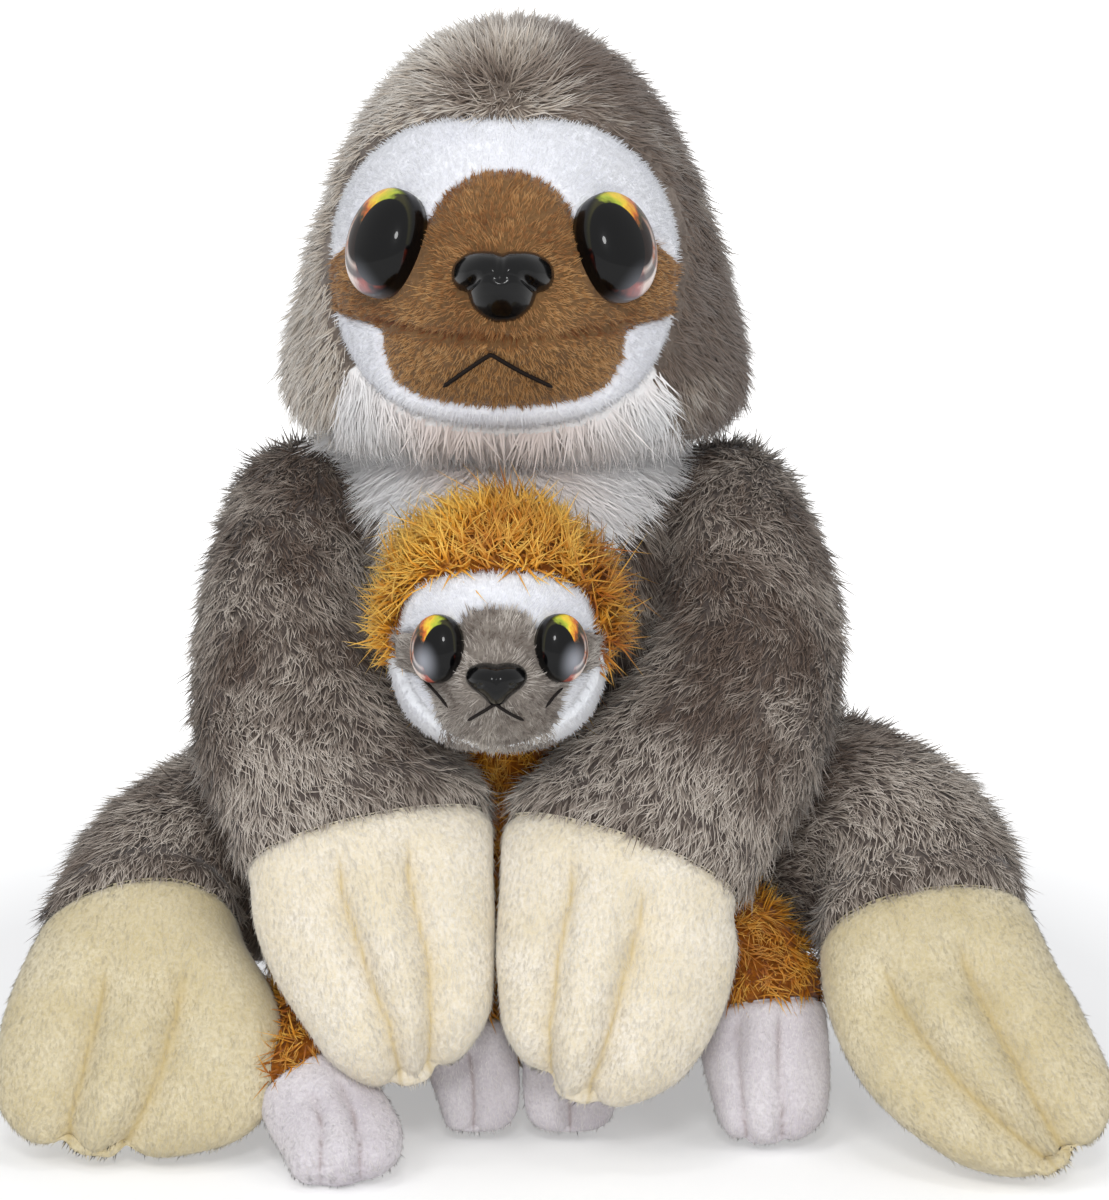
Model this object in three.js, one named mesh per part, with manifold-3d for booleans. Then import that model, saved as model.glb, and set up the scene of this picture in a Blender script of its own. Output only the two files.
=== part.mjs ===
import * as THREE from 'three';
import { mergeVertices } from 'three/addons/utils/BufferGeometryUtils.js';
import Module from 'manifold-3d';

// A seated plush sloth that hugs its baby, at real size in millimetres.
// The origin is the centre of the flat seat, +Z is up and the toy faces -Y.
// Fabric pieces are thin shells over stuffing, and the limbs turn in round sockets.

// Fabric, seams and clearances
const fabric = 2.2;
const seamGap = 0.3;
const hugGap = 1.6;
const stuffingSlack = 0.9;
const weldReach = 0.001;
const cutOverrun = 100;
const wholeRoom = 400;

// Mother's torso
const torsoHeight = 135;
const torsoHalfWidth = 61;
const torsoHalfDepth = 47;
const torsoLean = 8;
const seatPanelThickness = 2.4;
const beanPouchHeight = 24;
const bibHalfWidth = 40;
const bibTop = 146;
const bibDrop = 44;

// Neck ball, which the head turns on
const neckRadius = 38;
const neckHeight = 118;

// Mother's head
const headBottom = 142;
const headHeight = 97;
const headHalfWidth = 54;
const headHalfDepth = 43;
const faceShift = 2.2;
const faceHalfWidth = 40.7;
const faceHeight = 71;
const faceBottom = 149.5;
const cheekBulge = 7;
const cheekReach = 28;
const cheekHeight = 185;
const snoutBulge = 14;
const snoutHalfWidth = 19;
const snoutHalfHeight = 14;
const snoutHeight = 180;
const eyeSpread = 24.6;
const eyeHeight = 193;
const eyeHalfWidth = 10.2;
const eyeHalfHeight = 12.3;
const eyeDome = 6.5;
const eyePlate = 1.4;
const eyeSeatDepth = 0.8;
const pegRadius = 2.4;
const pegLength = 9.5;
const washerRadius = 6;
const washerThickness = 1.4;
const washerSetback = 1.2;
const noseSetback = 3.6;
const noseHeight = 186.5;
const noseHalfWidth = 11.2;
const noseHalfHeight = 7.8;
const noseDome = 8;
const noseSeatDepth = 1.2;
const mouthHeight = 170;
const mouthHalfWidth = 11;
const mouthDrop = 8;
const threadRadius = 0.55;

// Mother's arms, from the shoulder ball to the fingertips
const shoulderOut = 48;
const shoulderForward = 4;
const shoulderHeight = 123;
const shoulderRadius = 19;
const armSpread = 40;
const armReach = 100;
const armDrop = 110;
const armHalfWidth = 28;
const armHalfThickness = 20;

// Mother's legs, from the hip ball to the toes
const hipOut = 46;
const hipForward = 10;
const hipHeight = 40;
const hipRadius = 22;
const legSpread = 50;
const legReach = 100;
const legRise = 40;
const legHalfWidth = 27.5;
const legHalfThickness = 26;

// Swings of the limbs in degrees, about axes that open the hug and spread the legs
const armSwing = 45;
const legSwing = 16;
const hugSwing = 8;
const swingSteps = 4;
const armAxes = [[-0.6, 0, -1], [-0.8, -0.3, 1]];
const legAxes = [[-0.5, -0.5, -1], [-0.5, 0.5, 1]];

// Baby's body
const babyOut = 3;
const babyForward = 61;
const babyBodyBottom = 12;
const babyBodyHeight = 80;
const babyBodyHalfWidth = 19;
const babyBodyHalfDepth = 14;
const babyNeckForward = 71;
const babyNeckHeight = 90;
const babyNeckRadius = 11;

// Baby's head
const babyHeadForward = 83;
const babyHeadBottom = 86;
const babyHeadHeight = 58;
const babyHeadHalfWidth = 27;
const babyHeadHalfDepth = 23;
const babyFaceHalfWidth = 23.6;
const babyFaceHeight = 40;
const babyFaceBottom = 92;
const babyCheekBulge = 2.5;
const babyCheekReach = 15;
const babyCheekHeight = 113;
const babySnoutBulge = 6.5;
const babySnoutHalfWidth = 9.5;
const babySnoutHalfHeight = 7.5;
const babySnoutHeight = 106;
const babyEyeSpread = 13.1;
const babyEyeHeight = 116.5;
const babyEyeHalfWidth = 6.4;
const babyEyeHalfHeight = 8;
const babyEyeDome = 4.2;
const babyEyePlate = 1;
const babyEyeSeatDepth = 0.6;
const babyPegRadius = 1.6;
const babyPegLength = 8;
const babyWasherRadius = 3.6;
const babyWasherThickness = 1;
const babyWasherSetback = 1.2;
const babyNoseSetback = 3.1;
const babyNoseHeight = 109.5;
const babyNoseHalfWidth = 7.3;
const babyNoseHalfHeight = 4.9;
const babyNoseDome = 5;
const babyNoseSeatDepth = 0.8;
const babyMouthHeight = 102.5;
const babyMouthHalfWidth = 6;
const babyMouthDrop = 3.6;
const cheekStitchOut = 12.5;
const cheekStitchHeight = 106;
const cheekStitchLength = 4.6;
const babyThreadRadius = 0.45;

// Baby's limbs
const babyShoulderOut = 14;
const babyShoulderForward = 63;
const babyShoulderHeight = 78;
const babyArmReach = 25;
const babyArmDrop = 74;
const babyArmSpread = 12;
const babyArmHalfWidth = 10;
const babyArmHalfThickness = 6;
const babyHipOut = 8;
const babyHipForward = 64;
const babyHipHeight = 25;
const babyLegSpread = 36;
const babyLegReach = 54;
const babyLegRise = 20;
const babyLegHalfWidth = 15;
const babyLegHalfThickness = 10;

// Rows of a round form: height, half width, half depth and lean, each a share of its own size
const torsoRowsShare = [
  [0, 0.75, 0.75, 0], [0.02, 0.87, 0.87, 0], [0.07, 0.95, 0.96, 0], [0.19, 1, 1, 0.05],
  [0.37, 0.985, 0.985, 0.2], [0.56, 0.92, 0.93, 0.45], [0.7, 0.84, 0.85, 0.7], [0.8, 0.755, 0.79, 0.9],
  [0.87, 0.65, 0.71, 1], [0.93, 0.53, 0.57, 1], [0.98, 0.3, 0.33, 1], [1, 0, 0, 1],
];
const headRowsShare = [
  [0, 0, 0, 1], [0, 0.66, 0.66, 1], [0.02, 0.84, 0.84, 1], [0.06, 0.95, 0.95, 1], [0.13, 1, 1, 1],
  [0.23, 0.985, 1, 1], [0.34, 0.94, 1, 1], [0.46, 0.885, 0.99, 1], [0.57, 0.815, 0.95, 1],
  [0.68, 0.74, 0.87, 1], [0.8, 0.62, 0.73, 1], [0.88, 0.5, 0.59, 1], [0.945, 0.36, 0.42, 1],
  [0.985, 0.19, 0.22, 1], [1, 0, 0, 1],
];
const babyBodyRowsShare = [
  [0, 0, 0, 1], [0.01, 0.4, 0.4, 1], [0.06, 0.75, 0.75, 1], [0.18, 0.97, 0.97, 1], [0.38, 1, 1, 1],
  [0.6, 0.93, 0.93, 1], [0.8, 0.78, 0.8, 1], [0.92, 0.55, 0.6, 1], [1, 0, 0, 1],
];
const babyHeadRowsShare = [
  [0, 0, 0, 1], [0.01, 0.42, 0.42, 1], [0.06, 0.68, 0.68, 1], [0.15, 0.86, 0.86, 1], [0.28, 0.96, 0.96, 1],
  [0.45, 1, 1, 1], [0.62, 0.97, 0.97, 1], [0.77, 0.84, 0.84, 1], [0.89, 0.62, 0.62, 1],
  [0.97, 0.33, 0.33, 1], [1, 0, 0, 1],
];

// Stations of a limb: outward, forward, down or up, half width and half thickness, as shares
const leftArmShare = [
  [0, 0, 0, 0.68, 0.95], [0.06, 0.18, 0.09, 0.73, 1], [0.07, 0.38, 0.21, 0.79, 0.98],
  [-0.06, 0.58, 0.34, 0.92, 0.86], [-0.27, 0.72, 0.42, 1, 0.74], [-0.43, 0.82, 0.5, 1, 0.68],
  [-0.46, 0.885, 0.61, 0.97, 0.63], [-0.51, 0.92, 0.73, 0.91, 0.62], [-0.6, 0.95, 0.85, 0.76, 0.57],
  [-0.69, 0.97, 0.96, 0.52, 0.4],
];
const rightArmShare = [
  [0, 0, 0, 0.68, 0.95], [0.1, 0.18, 0.09, 0.75, 1], [0.12, 0.38, 0.21, 0.81, 0.98],
  [-0.06, 0.58, 0.35, 0.93, 0.86], [-0.36, 0.73, 0.45, 1, 0.74], [-0.6, 0.83, 0.535, 1, 0.68],
  [-0.63, 0.9, 0.65, 0.98, 0.63], [-0.68, 0.94, 0.77, 0.92, 0.62], [-0.77, 0.965, 0.885, 0.76, 0.57],
  [-0.88, 0.985, 0.99, 0.5, 0.4],
];
const leftLegShare = [
  [0, 0, 0, 0.8, 0.85], [0.34, 0.18, 0.24, 0.92, 1], [0.58, 0.37, 0.23, 0.86, 0.93],
  [0.68, 0.51, 0.2, 0.8, 0.74], [0.7, 0.63, 0.08, 0.82, 0.61], [0.72, 0.73, -0.13, 0.95, 0.53],
  [0.76, 0.82, -0.4, 1, 0.47], [0.81, 0.89, -0.7, 0.9, 0.38], [0.86, 0.94, -0.94, 0.62, 0.2],
];
const rightLegShare = [
  [0, 0, 0, 0.8, 0.85], [0.42, 0.18, 0.34, 0.97, 1.02], [0.76, 0.36, 0.36, 0.93, 0.96],
  [0.86, 0.53, 0.33, 0.86, 0.76], [0.86, 0.67, 0.2, 0.88, 0.63], [0.92, 0.79, -0.06, 1, 0.54],
  [1.05, 0.9, -0.38, 1.05, 0.47], [1.21, 1, -0.68, 0.9, 0.38], [1.37, 1.08, -0.91, 0.58, 0.2],
];
const leftBabyArmShare = [
  [0, 0, 0, 0.6, 1], [0.3, 0.3, 0.28, 0.6, 1], [-0.2, 0.5, 0.58, 0.66, 0.95],
  [-0.65, 0.74, 0.83, 1.1, 0.95], [-0.7, 0.92, 1.03, 0.98, 0.62],
];
const rightBabyArmShare = [
  [0, 0, 0, 0.6, 1], [0.3, 0.3, 0.28, 0.6, 1], [0.1, 0.5, 0.58, 0.66, 0.95],
  [0.1, 0.74, 0.83, 1.1, 0.95], [0.12, 0.92, 1.03, 0.98, 0.62],
];
const leftBabyLegShare = [
  [0, 0, 0, 0.66, 1], [0.5, 0.16, 0.05, 0.66, 1], [0.88, 0.34, 0, 0.68, 0.98],
  [0.86, 0.56, -0.46, 0.88, 0.9], [0.74, 0.8, -0.84, 1.02, 0.82], [0.7, 1.02, -1.05, 0.84, 0.6],
];
const rightBabyLegShare = [
  [0, 0, 0, 0.66, 1], [0.58, 0.06, 0.7, 0.66, 1], [1.12, 0.1, 0.98, 0.7, 1],
  [1.36, 0.2, 0.5, 0.85, 0.98], [1.36, 0.38, -0.42, 1.05, 0.88], [1.37, 0.53, -1.18, 0.88, 0.62],
];
const handTurnShare = [0.02, 0.14];
const footTurnShare = [0, 0.12];
const wristShare = 0.555;
const ankleShare = 0.5;
const babyWristShare = 0.62;
const babyAnkleShare = [0.5, 0.66];
const limbRoundingShare = 0.12;
const limbCrowding = 1.15;

// Half outlines on the face, from the top round to the chin: across and up, as shares of the face
const maskOutlineShare = [
  [0, 1], [0.32, 0.987], [0.615, 0.935], [0.88, 0.8], [1, 0.575], [0.91, 0.33], [0.56, 0.108], [0, 0],
];
const muzzleOutlineShare = [
  [0, 0.862], [0.165, 0.85], [0.3, 0.795], [0.42, 0.735], [0.62, 0.7], [0.84, 0.68], [1.12, 0.66],
  [1.12, 0.4], [0.84, 0.385], [0.77, 0.31], [0.7, 0.235], [0.38, 0.135], [0, 0.098],
];
const babyMaskOutlineShare = [
  [0, 1], [0.45, 0.985], [0.83, 0.9], [1, 0.62], [0.96, 0.42], [0.84, 0.26], [0.55, 0.08], [0, 0],
];
const babyMuzzleOutlineShare = [
  [0, 0.88], [0.3, 0.86], [0.42, 0.77], [0.62, 0.71], [1.12, 0.64], [1.12, 0.4], [0.86, 0.37],
  [0.66, 0.2], [0.35, 0.07], [0, 0.05],
];
const noseOutlineShare = [
  [0, 0.86], [0.3, 1], [0.66, 0.98], [0.95, 0.66], [0.97, 0.12], [0.62, -0.28], [0.42, -0.78], [0, -1],
];
const noseRingsShare = [0, 0.5, 0.8, 0.95];
const mouthLineShare = [[-1, -1], [-0.55, -0.42], [0, 0], [0.5, -0.38], [1, -0.97]];
const stitchLineShare = [[-0.5, 0.45], [0, 0.1], [0.5, -0.45]];
const faceSplitShare = 0.53;
const faceBackShare = 0.25;

// Facets
const roundSides = 16;
const limbSides = 10;
const smallSides = 8;
const frontCrowding = 0.3;
const domeSteps = 3;
const frameReachShare = 0.17;
const shareStep = 1e-6;
const torsoRings = 9;
const headRings = 11;
const babyHeadRings = 7;
const limbRings = 7;
const smallRings = 5;

const wasm = await Module();
wasm.setup();

// A closed solid from a geometry whose equal corners are joined first
function solidOf(geometry) {
  const bare = geometry.clone();
  bare.deleteAttribute('normal');
  bare.deleteAttribute('uv');
  const merged = mergeVertices(bare, weldReach);
  const corners = merged.index.array;
  const kept = [];
  for (let i = 0; i < corners.length; i += 3) {
    const [a, b, c] = [corners[i], corners[i + 1], corners[i + 2]];
    if (a !== b && b !== c && c !== a) kept.push(a, b, c);
  }
  return new wasm.Manifold(new wasm.Mesh({
    numProp: 3,
    vertProperties: new Float32Array(merged.attributes.position.array),
    triVerts: new Uint32Array(kept),
  }));
}

function geometryOf(solid) {
  const mesh = solid.getMesh();
  const geometry = new THREE.BufferGeometry();
  geometry.setAttribute('position', new THREE.BufferAttribute(mesh.vertProperties, 3));
  geometry.setIndex(new THREE.BufferAttribute(mesh.triVerts, 1));
  return geometry;
}

// Smooth value between the rows of a table, where share runs from 0 to 1 over all its rows
function rowAt(rows, share) {
  const last = rows.length - 1;
  const place = Math.min(Math.max(share, 0), 1) * last;
  const i = Math.min(Math.floor(place), last - 1);
  const f = place - i;
  const row = (k) => rows[Math.min(Math.max(k, 0), last)];
  return rows[0].map((_, c) => {
    const [p0, p1, p2, p3] = [row(i - 1)[c], row(i)[c], row(i + 1)[c], row(i + 2)[c]];
    const bend = 2 * p0 - 5 * p1 + 4 * p2 - p3;
    const twist = 3 * p1 - p0 - 3 * p2 + p3;
    return (2 * p1 + (p2 - p0) * f + bend * f * f + twist * f * f * f) / 2;
  });
}

// Skin of rings that run from a first to a last pole
function ringGeometry(rings, firstPole, lastPole) {
  const sides = rings[0].length;
  const points = [firstPole, ...rings.flat(), lastPole];
  const end = points.length - 1;
  const at = (ring, side) => 1 + ring * sides + (side % sides);
  const faces = [];
  for (let s = 0; s < sides; s += 1) {
    faces.push(0, at(0, s + 1), at(0, s));
    for (let r = 0; r < rings.length - 1; r += 1) {
      faces.push(at(r, s), at(r, s + 1), at(r + 1, s + 1));
      faces.push(at(r, s), at(r + 1, s + 1), at(r + 1, s));
    }
    faces.push(at(rings.length - 1, s), at(rings.length - 1, s + 1), end);
  }
  const geometry = new THREE.BufferGeometry();
  geometry.setAttribute('position', new THREE.Float32BufferAttribute(points.flat(), 3));
  geometry.setIndex(faces);
  return geometry;
}

// Upright round form: rows of height, half width, half depth and lean towards the front
class RoundForm {
  constructor(rowShares, sizes, centre, bulges = []) {
    this.rows = rowShares.map(([up, wide, deep, lean]) => [
      centre[2] + up * sizes.height, wide * sizes.halfWidth, deep * sizes.halfDepth, lean * sizes.lean,
    ]);
    this.centre = centre;
    this.halfDepth = sizes.halfDepth;
    this.bulges = bulges;
  }

  bulge(x, z) {
    return this.bulges.reduce((sum, b) => {
      const across = (x - b.x) / b.halfWidth;
      const up = (z - b.z) / b.halfHeight;
      return sum + b.out * Math.exp(-(across * across + up * up) / 2);
    }, 0);
  }

  point(share, angle, grow) {
    const [z, wide, deep, lean] = rowAt(this.rows, share);
    const x = this.centre[0] + (Math.max(wide, 0) + (wide > 0 ? grow : 0)) * Math.sin(angle);
    const facing = Math.min(Math.max(2 * Math.cos(angle), 0), 1);
    const reach = (Math.max(deep, 0) + (deep > 0 ? grow : 0)) * Math.cos(angle);
    const y = this.centre[1] - lean - reach - facing * this.bulge(x, z);
    return [x, y, z + grow * (2 * share - 1)];
  }

  solid(sides, rings, grow = 0) {
    const start = this.rows[0][1] > 0 ? 0 : 1;
    const steps = Array.from({ length: rings }, (_, i) => (i + start) / (rings + start));
    const angles = Array.from({ length: sides }, (_, j) => {
      const turn = (2 * Math.PI * j) / sides - Math.PI;
      return turn - frontCrowding * Math.sin(turn);
    });
    const skin = steps.map((share) => angles.map((angle) => this.point(share, angle, grow)));
    return solidOf(ringGeometry(skin, this.pole(0, grow), this.pole(1, grow)));
  }

  pole(share, grow) {
    const [z, , , lean] = rowAt(this.rows, share);
    return [this.centre[0], this.centre[1] - lean, z + grow * (2 * share - 1)];
  }

  // Direction that the front surface faces there
  frontNormal(x, z) {
    const step = fabric;
    const across = (this.frontY(x + step, z) - this.frontY(x - step, z)) / (2 * step);
    const up = (this.frontY(x, z + step) - this.frontY(x, z - step)) / (2 * step);
    return new THREE.Vector3(across, -1, up).normalize();
  }

  // Front surface over a place across and up
  frontY(x, z) {
    let [low, high] = [0, 1];
    while (high - low > shareStep) {
      const middle = (low + high) / 2;
      if (rowAt(this.rows, middle)[0] < z) low = middle;
      else high = middle;
    }
    const [, wide, deep, lean] = rowAt(this.rows, low);
    const across = Math.min(Math.abs(x - this.centre[0]) / wide, 1);
    const facing = Math.sqrt(1 - across * across);
    return this.centre[1] - lean - deep * facing - Math.min(2 * facing, 1) * this.bulge(x, z);
  }
}

// Limb: an oval section carried along a curved spine, with a rounded far end
class LimbForm {
  constructor(stations, across) {
    this.stations = stations;
    this.across = new THREE.Vector3(...across);
  }

  frame(share) {
    const place = (s) => new THREE.Vector3(...rowAt(this.stations, s).slice(0, 3));
    const from = Math.max(share - frameReachShare, 0);
    const to = Math.min(share + frameReachShare, 1);
    const along = place(to).sub(place(from)).normalize();
    const wide = this.across.clone().addScaledVector(along, -this.across.dot(along)).normalize();
    const thick = new THREE.Vector3().crossVectors(along, wide);
    return { at: place(share), along, wide, thick };
  }

  solid(sides, rings, grow = 0) {
    const steps = Array.from({ length: rings }, (_, i) => {
      const even = i / (rings - 1 + limbRoundingShare);
      return 1 - (1 - even) ** limbCrowding;
    });
    const skin = steps.map((share) => this.ring(share, sides, grow));
    const tip = this.frame(1);
    const root = this.frame(0).at.toArray();
    return solidOf(ringGeometry(skin, root, tip.at.addScaledVector(tip.along, grow).toArray()));
  }

  ring(share, sides, grow) {
    const { at, along, wide, thick } = this.frame(share);
    const [, , , halfWidth, halfThickness] = rowAt(this.stations, share);
    const past = Math.max((share - (1 - limbRoundingShare)) / limbRoundingShare, 0);
    const round = Math.sqrt(1 - Math.min(past, 1) ** 2);
    at.addScaledVector(along, grow * (1 - round));
    return Array.from({ length: sides }, (_, j) => {
      const turn = (2 * Math.PI * j) / sides;
      return at.clone()
        .addScaledVector(wide, (halfWidth + grow) * round * Math.cos(turn))
        .addScaledVector(thick, (halfThickness + grow) * round * Math.sin(turn))
        .toArray();
    });
  }

  // Block over everything past a seam across the limb
  beyond(share, offset) {
    const { at, along, wide, thick } = this.frame(share);
    const across = 4 * rowAt(this.stations, share)[3];
    const box = new THREE.BoxGeometry(across, across, cutOverrun);
    box.translate(0, 0, cutOverrun / 2 + offset);
    const turn = new THREE.Matrix4().makeBasis(wide, thick, along).setPosition(at);
    return solidOf(box.applyMatrix4(turn));
  }
}

function ball(centre, radius, sides = roundSides) {
  const sphere = new THREE.SphereGeometry(radius, sides, sides / 2).rotateX(Math.PI / 2);
  return solidOf(sphere.translate(...centre));
}

// Closed outline over the whole face from its right half, sampled on a smooth curve
function faceOutline(halfShare, face, grow) {
  const place = ([across, up]) => new THREE.Vector2(
    face.x + across * (face.halfWidth + grow), face.bottom - grow + up * (face.height + 2 * grow),
  );
  const right = halfShare.map(place);
  const left = halfShare.slice(1, -1).map(([across, up]) => place([-across, up])).reverse();
  const curve = new THREE.SplineCurve([...right, ...left, right[0]]);
  return curve.getPoints(2 * (right.length + left.length)).slice(0, -1);
}

// Prism over an outline of across and up, from a back face towards the front
function prism(outline, back, depth) {
  const shape = new THREE.Shape(outline);
  const geometry = new THREE.ExtrudeGeometry(shape, { depth, bevelEnabled: false });
  return solidOf(geometry.rotateX(Math.PI / 2).translate(0, back, 0));
}

// A solid turned about an axis through a centre
function turned(solid, centre, axis, degrees) {
  const along = new THREE.Vector3(...axis).normalize();
  const spin = new THREE.Matrix4().makeRotationAxis(along, THREE.MathUtils.degToRad(degrees));
  const away = centre.map((v) => -v);
  return solid.translate(away).transform(spin.elements).translate(centre);
}

// Everything a solid passes through as it turns from rest to its full swing
function swept(solid, centre, axis, swing) {
  const steps = Array.from({ length: swingSteps }, (_, i) => (swing * i) / (swingSteps - 1));
  return steps.map((step) => turned(solid, centre, axis, step)).reduce((all, one) => all.add(one));
}

function blockAbove(height, size) {
  const box = new THREE.BoxGeometry(size, size, size);
  return solidOf(box.translate(0, 0, height + size / 2));
}

const parts = new THREE.Group();
const sides = [['left', -1], ['right', 1]];

function addMesh(name, geometry, material, parent = parts) {
  const mesh = new THREE.Mesh(geometry, material);
  mesh.name = name;
  parent.add(mesh);
  return mesh;
}

const plush = (color) => new THREE.MeshStandardMaterial({ color, roughness: 0.95, metalness: 0 });
const plastic = (color, roughness) => new THREE.MeshStandardMaterial({ color, roughness, metalness: 0 });
const greyFur = () => plush(0x857a70);
const whitePile = () => plush(0xeef0f6);
const brownPile = () => plush(0x93693c);
const creamPile = () => plush(0xf0e8cf);
const orangeFur = () => plush(0xc87a16);
const greyPile = () => plush(0xa39c90);
const fibrefill = () => plush(0xf4f2ec);
const blackThread = () => plush(0x1d1a18);
const clearAcrylic = () => plastic(0xe8ecee, 0.05);
const foilPlastic = () => plastic(0x2a211c, 0.2);
const blackPlastic = () => plastic(0x0c0c0e, 0.12);
const whitePlastic = () => plastic(0xf2f2f0, 0.5);

// Oval dome with a flat back at z = 0 and its top at z = height
function domeGeometry(halfWidth, halfHeight, height) {
  const profile = [new THREE.Vector2(0, 0)];
  for (let i = 0; i <= domeSteps; i += 1) {
    const turn = (i / domeSteps) * (Math.PI / 2);
    profile.push(new THREE.Vector2(Math.cos(turn), Math.sin(turn)));
  }
  profile[profile.length - 1].x = 0;
  const lathe = new THREE.LatheGeometry(profile, roundSides).rotateX(Math.PI / 2);
  return lathe.scale(halfWidth, halfHeight, height);
}

// Round bar along z between two heights
function barGeometry(radius, low, high, sides = smallSides) {
  const bar = new THREE.CylinderGeometry(radius, radius, high - low, sides).rotateX(Math.PI / 2);
  return bar.translate(0, 0, (low + high) / 2);
}

// Lock washer on a fixing's peg, behind the fabric
function addWasher(name, fixing, depth, mount) {
  const disc = solidOf(barGeometry(fixing.washerRadius, depth.washerBack, depth.washerFront));
  const [low, high] = [depth.washerBack - fabric, depth.washerFront + fabric];
  const bore = solidOf(barGeometry(fixing.pegRadius + seamGap, low, high));
  addMesh(`${name}_washer`, geometryOf(disc.subtract(bore)), whitePlastic(), mount);
}

// Depths of a plastic fixing: its plate from z = 0 down, and the washer behind the fabric
function pegDepths(plate, setback, washer) {
  const plateBack = -plate;
  const washerFront = plateBack - seamGap - fabric - setback;
  return { plateBack, washerFront, washerBack: washerFront - washer };
}

// Group whose z axis stands out of the face at a place across and up, lifted off its skin
function mountOn(head, across, height, lift) {
  const x = head.face.x + across;
  const out = head.form.frontNormal(x, height);
  const right = new THREE.Vector3(0, 0, 1).cross(out).normalize();
  const mount = new THREE.Group();
  mount.setRotationFromMatrix(new THREE.Matrix4().makeBasis(right, out.clone().cross(right), out));
  mount.position.set(x, head.form.frontY(x, height), height);
  mount.translateZ(lift);
  mount.updateMatrix();
  return mount;
}

// Safety eye: clear dome, printed plate with its peg, and lock washer
function makeEye(name, eye, side, head) {
  const mount = mountOn(head, side * eye.spread, eye.height, eye.plate - eye.seatDepth + seamGap);
  const depth = pegDepths(eye.plate, eye.setback, eye.washerThickness);
  const plate = barGeometry(1, depth.plateBack, 0, roundSides).scale(eye.halfWidth, eye.halfHeight, 1);
  const peg = solidOf(barGeometry(eye.pegRadius, -eye.pegLength, 0));
  const dome = domeGeometry(eye.halfWidth, eye.halfHeight, eye.dome).translate(0, 0, seamGap);
  addMesh(`${name}_dome`, dome, clearAcrylic(), mount);
  addMesh(`${name}_plate`, geometryOf(solidOf(plate).add(peg)), foilPlastic(), mount);
  addWasher(name, eye, depth, mount);
  parts.add(mount);
  const seat = barGeometry(1, depth.plateBack - seamGap, cutOverrun, roundSides)
    .scale(eye.halfWidth + seamGap, eye.halfHeight + seamGap, 1);
  return fixingRoom(mount.matrix, eye, depth, seat);
}

// Room that a fixing needs: its seat in the fabric, and its peg and washer in the stuffing
function fixingRoom(matrix, fixing, depth, seatGeometry) {
  const placed = (geometry) => solidOf(geometry.applyMatrix4(matrix));
  const seat = placed(seatGeometry);
  const hole = placed(barGeometry(fixing.pegRadius + seamGap, -fixing.pegLength - seamGap, 0));
  const pocket = placed(barGeometry(
    fixing.washerRadius + seamGap, depth.washerBack - seamGap, depth.washerFront + seamGap,
  ));
  return { fabric: seat.add(hole), stuffing: seat.add(hole).add(pocket) };
}

// Moulded nose: a domed pad over its outline, a peg and a lock washer
function makeNose(name, nose, head) {
  const mount = mountOn(head, 0, nose.height, seamGap - nose.seatDepth);
  const depth = pegDepths(0, nose.setback, nose.washerThickness);
  const outline = noseCurve(nose, 0);
  const rings = noseRingsShare.map((share) => {
    const round = Math.sqrt(1 - share * share);
    return outline.map(([px, py]) => [px * round, py * round, share * nose.dome]);
  });
  const pad = solidOf(ringGeometry(rings, [0, 0, 0], [0, 0, nose.dome]));
  const peg = solidOf(barGeometry(nose.pegRadius, -nose.pegLength, nose.dome / 2));
  addMesh(name, geometryOf(pad.add(peg)), blackPlastic(), mount);
  addWasher(name, nose, depth, mount);
  parts.add(mount);
  const shape = new THREE.Shape(noseCurve(nose, seamGap).map(([px, py]) => new THREE.Vector2(px, py)));
  const seat = new THREE.ExtrudeGeometry(shape, { depth: cutOverrun + seamGap, bevelEnabled: false });
  return fixingRoom(mount.matrix, nose, depth, seat.translate(0, 0, -seamGap));
}

function noseCurve(nose, grow) {
  const place = ([across, up]) => new THREE.Vector2(
    across * (nose.halfWidth + grow), up * (nose.halfHeight + grow),
  );
  const right = noseOutlineShare.map(place);
  const left = noseOutlineShare.slice(1, -1).map(([across, up]) => place([-across, up])).reverse();
  const curve = new THREE.SplineCurve([...right, ...left, right[0]]);
  return curve.getPoints(roundSides).slice(0, -1).reverse().map((p) => [p.x, p.y]);
}

// Thread laid on the face along a line of across and up
function makeThread(name, line, head, radius) {
  const points = line.map(([x, z]) => new THREE.Vector3(
    x, head.form.frontY(x, z) - radius - 2 * seamGap, z,
  ));
  const path = new THREE.CatmullRomCurve3(points);
  const section = new THREE.Shape();
  section.absarc(0, 0, radius, 0, 2 * Math.PI);
  const geometry = new THREE.ExtrudeGeometry(section, {
    extrudePath: path, steps: 2 * (line.length - 1), curveSegments: 3, bevelEnabled: false,
  });
  addMesh(name, geometryOf(solidOf(geometry)), blackThread());
}

// Rings of a stuffing, which keeps every second ring of its shell
const coarse = (rings) => (rings - 1) / 2;

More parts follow.
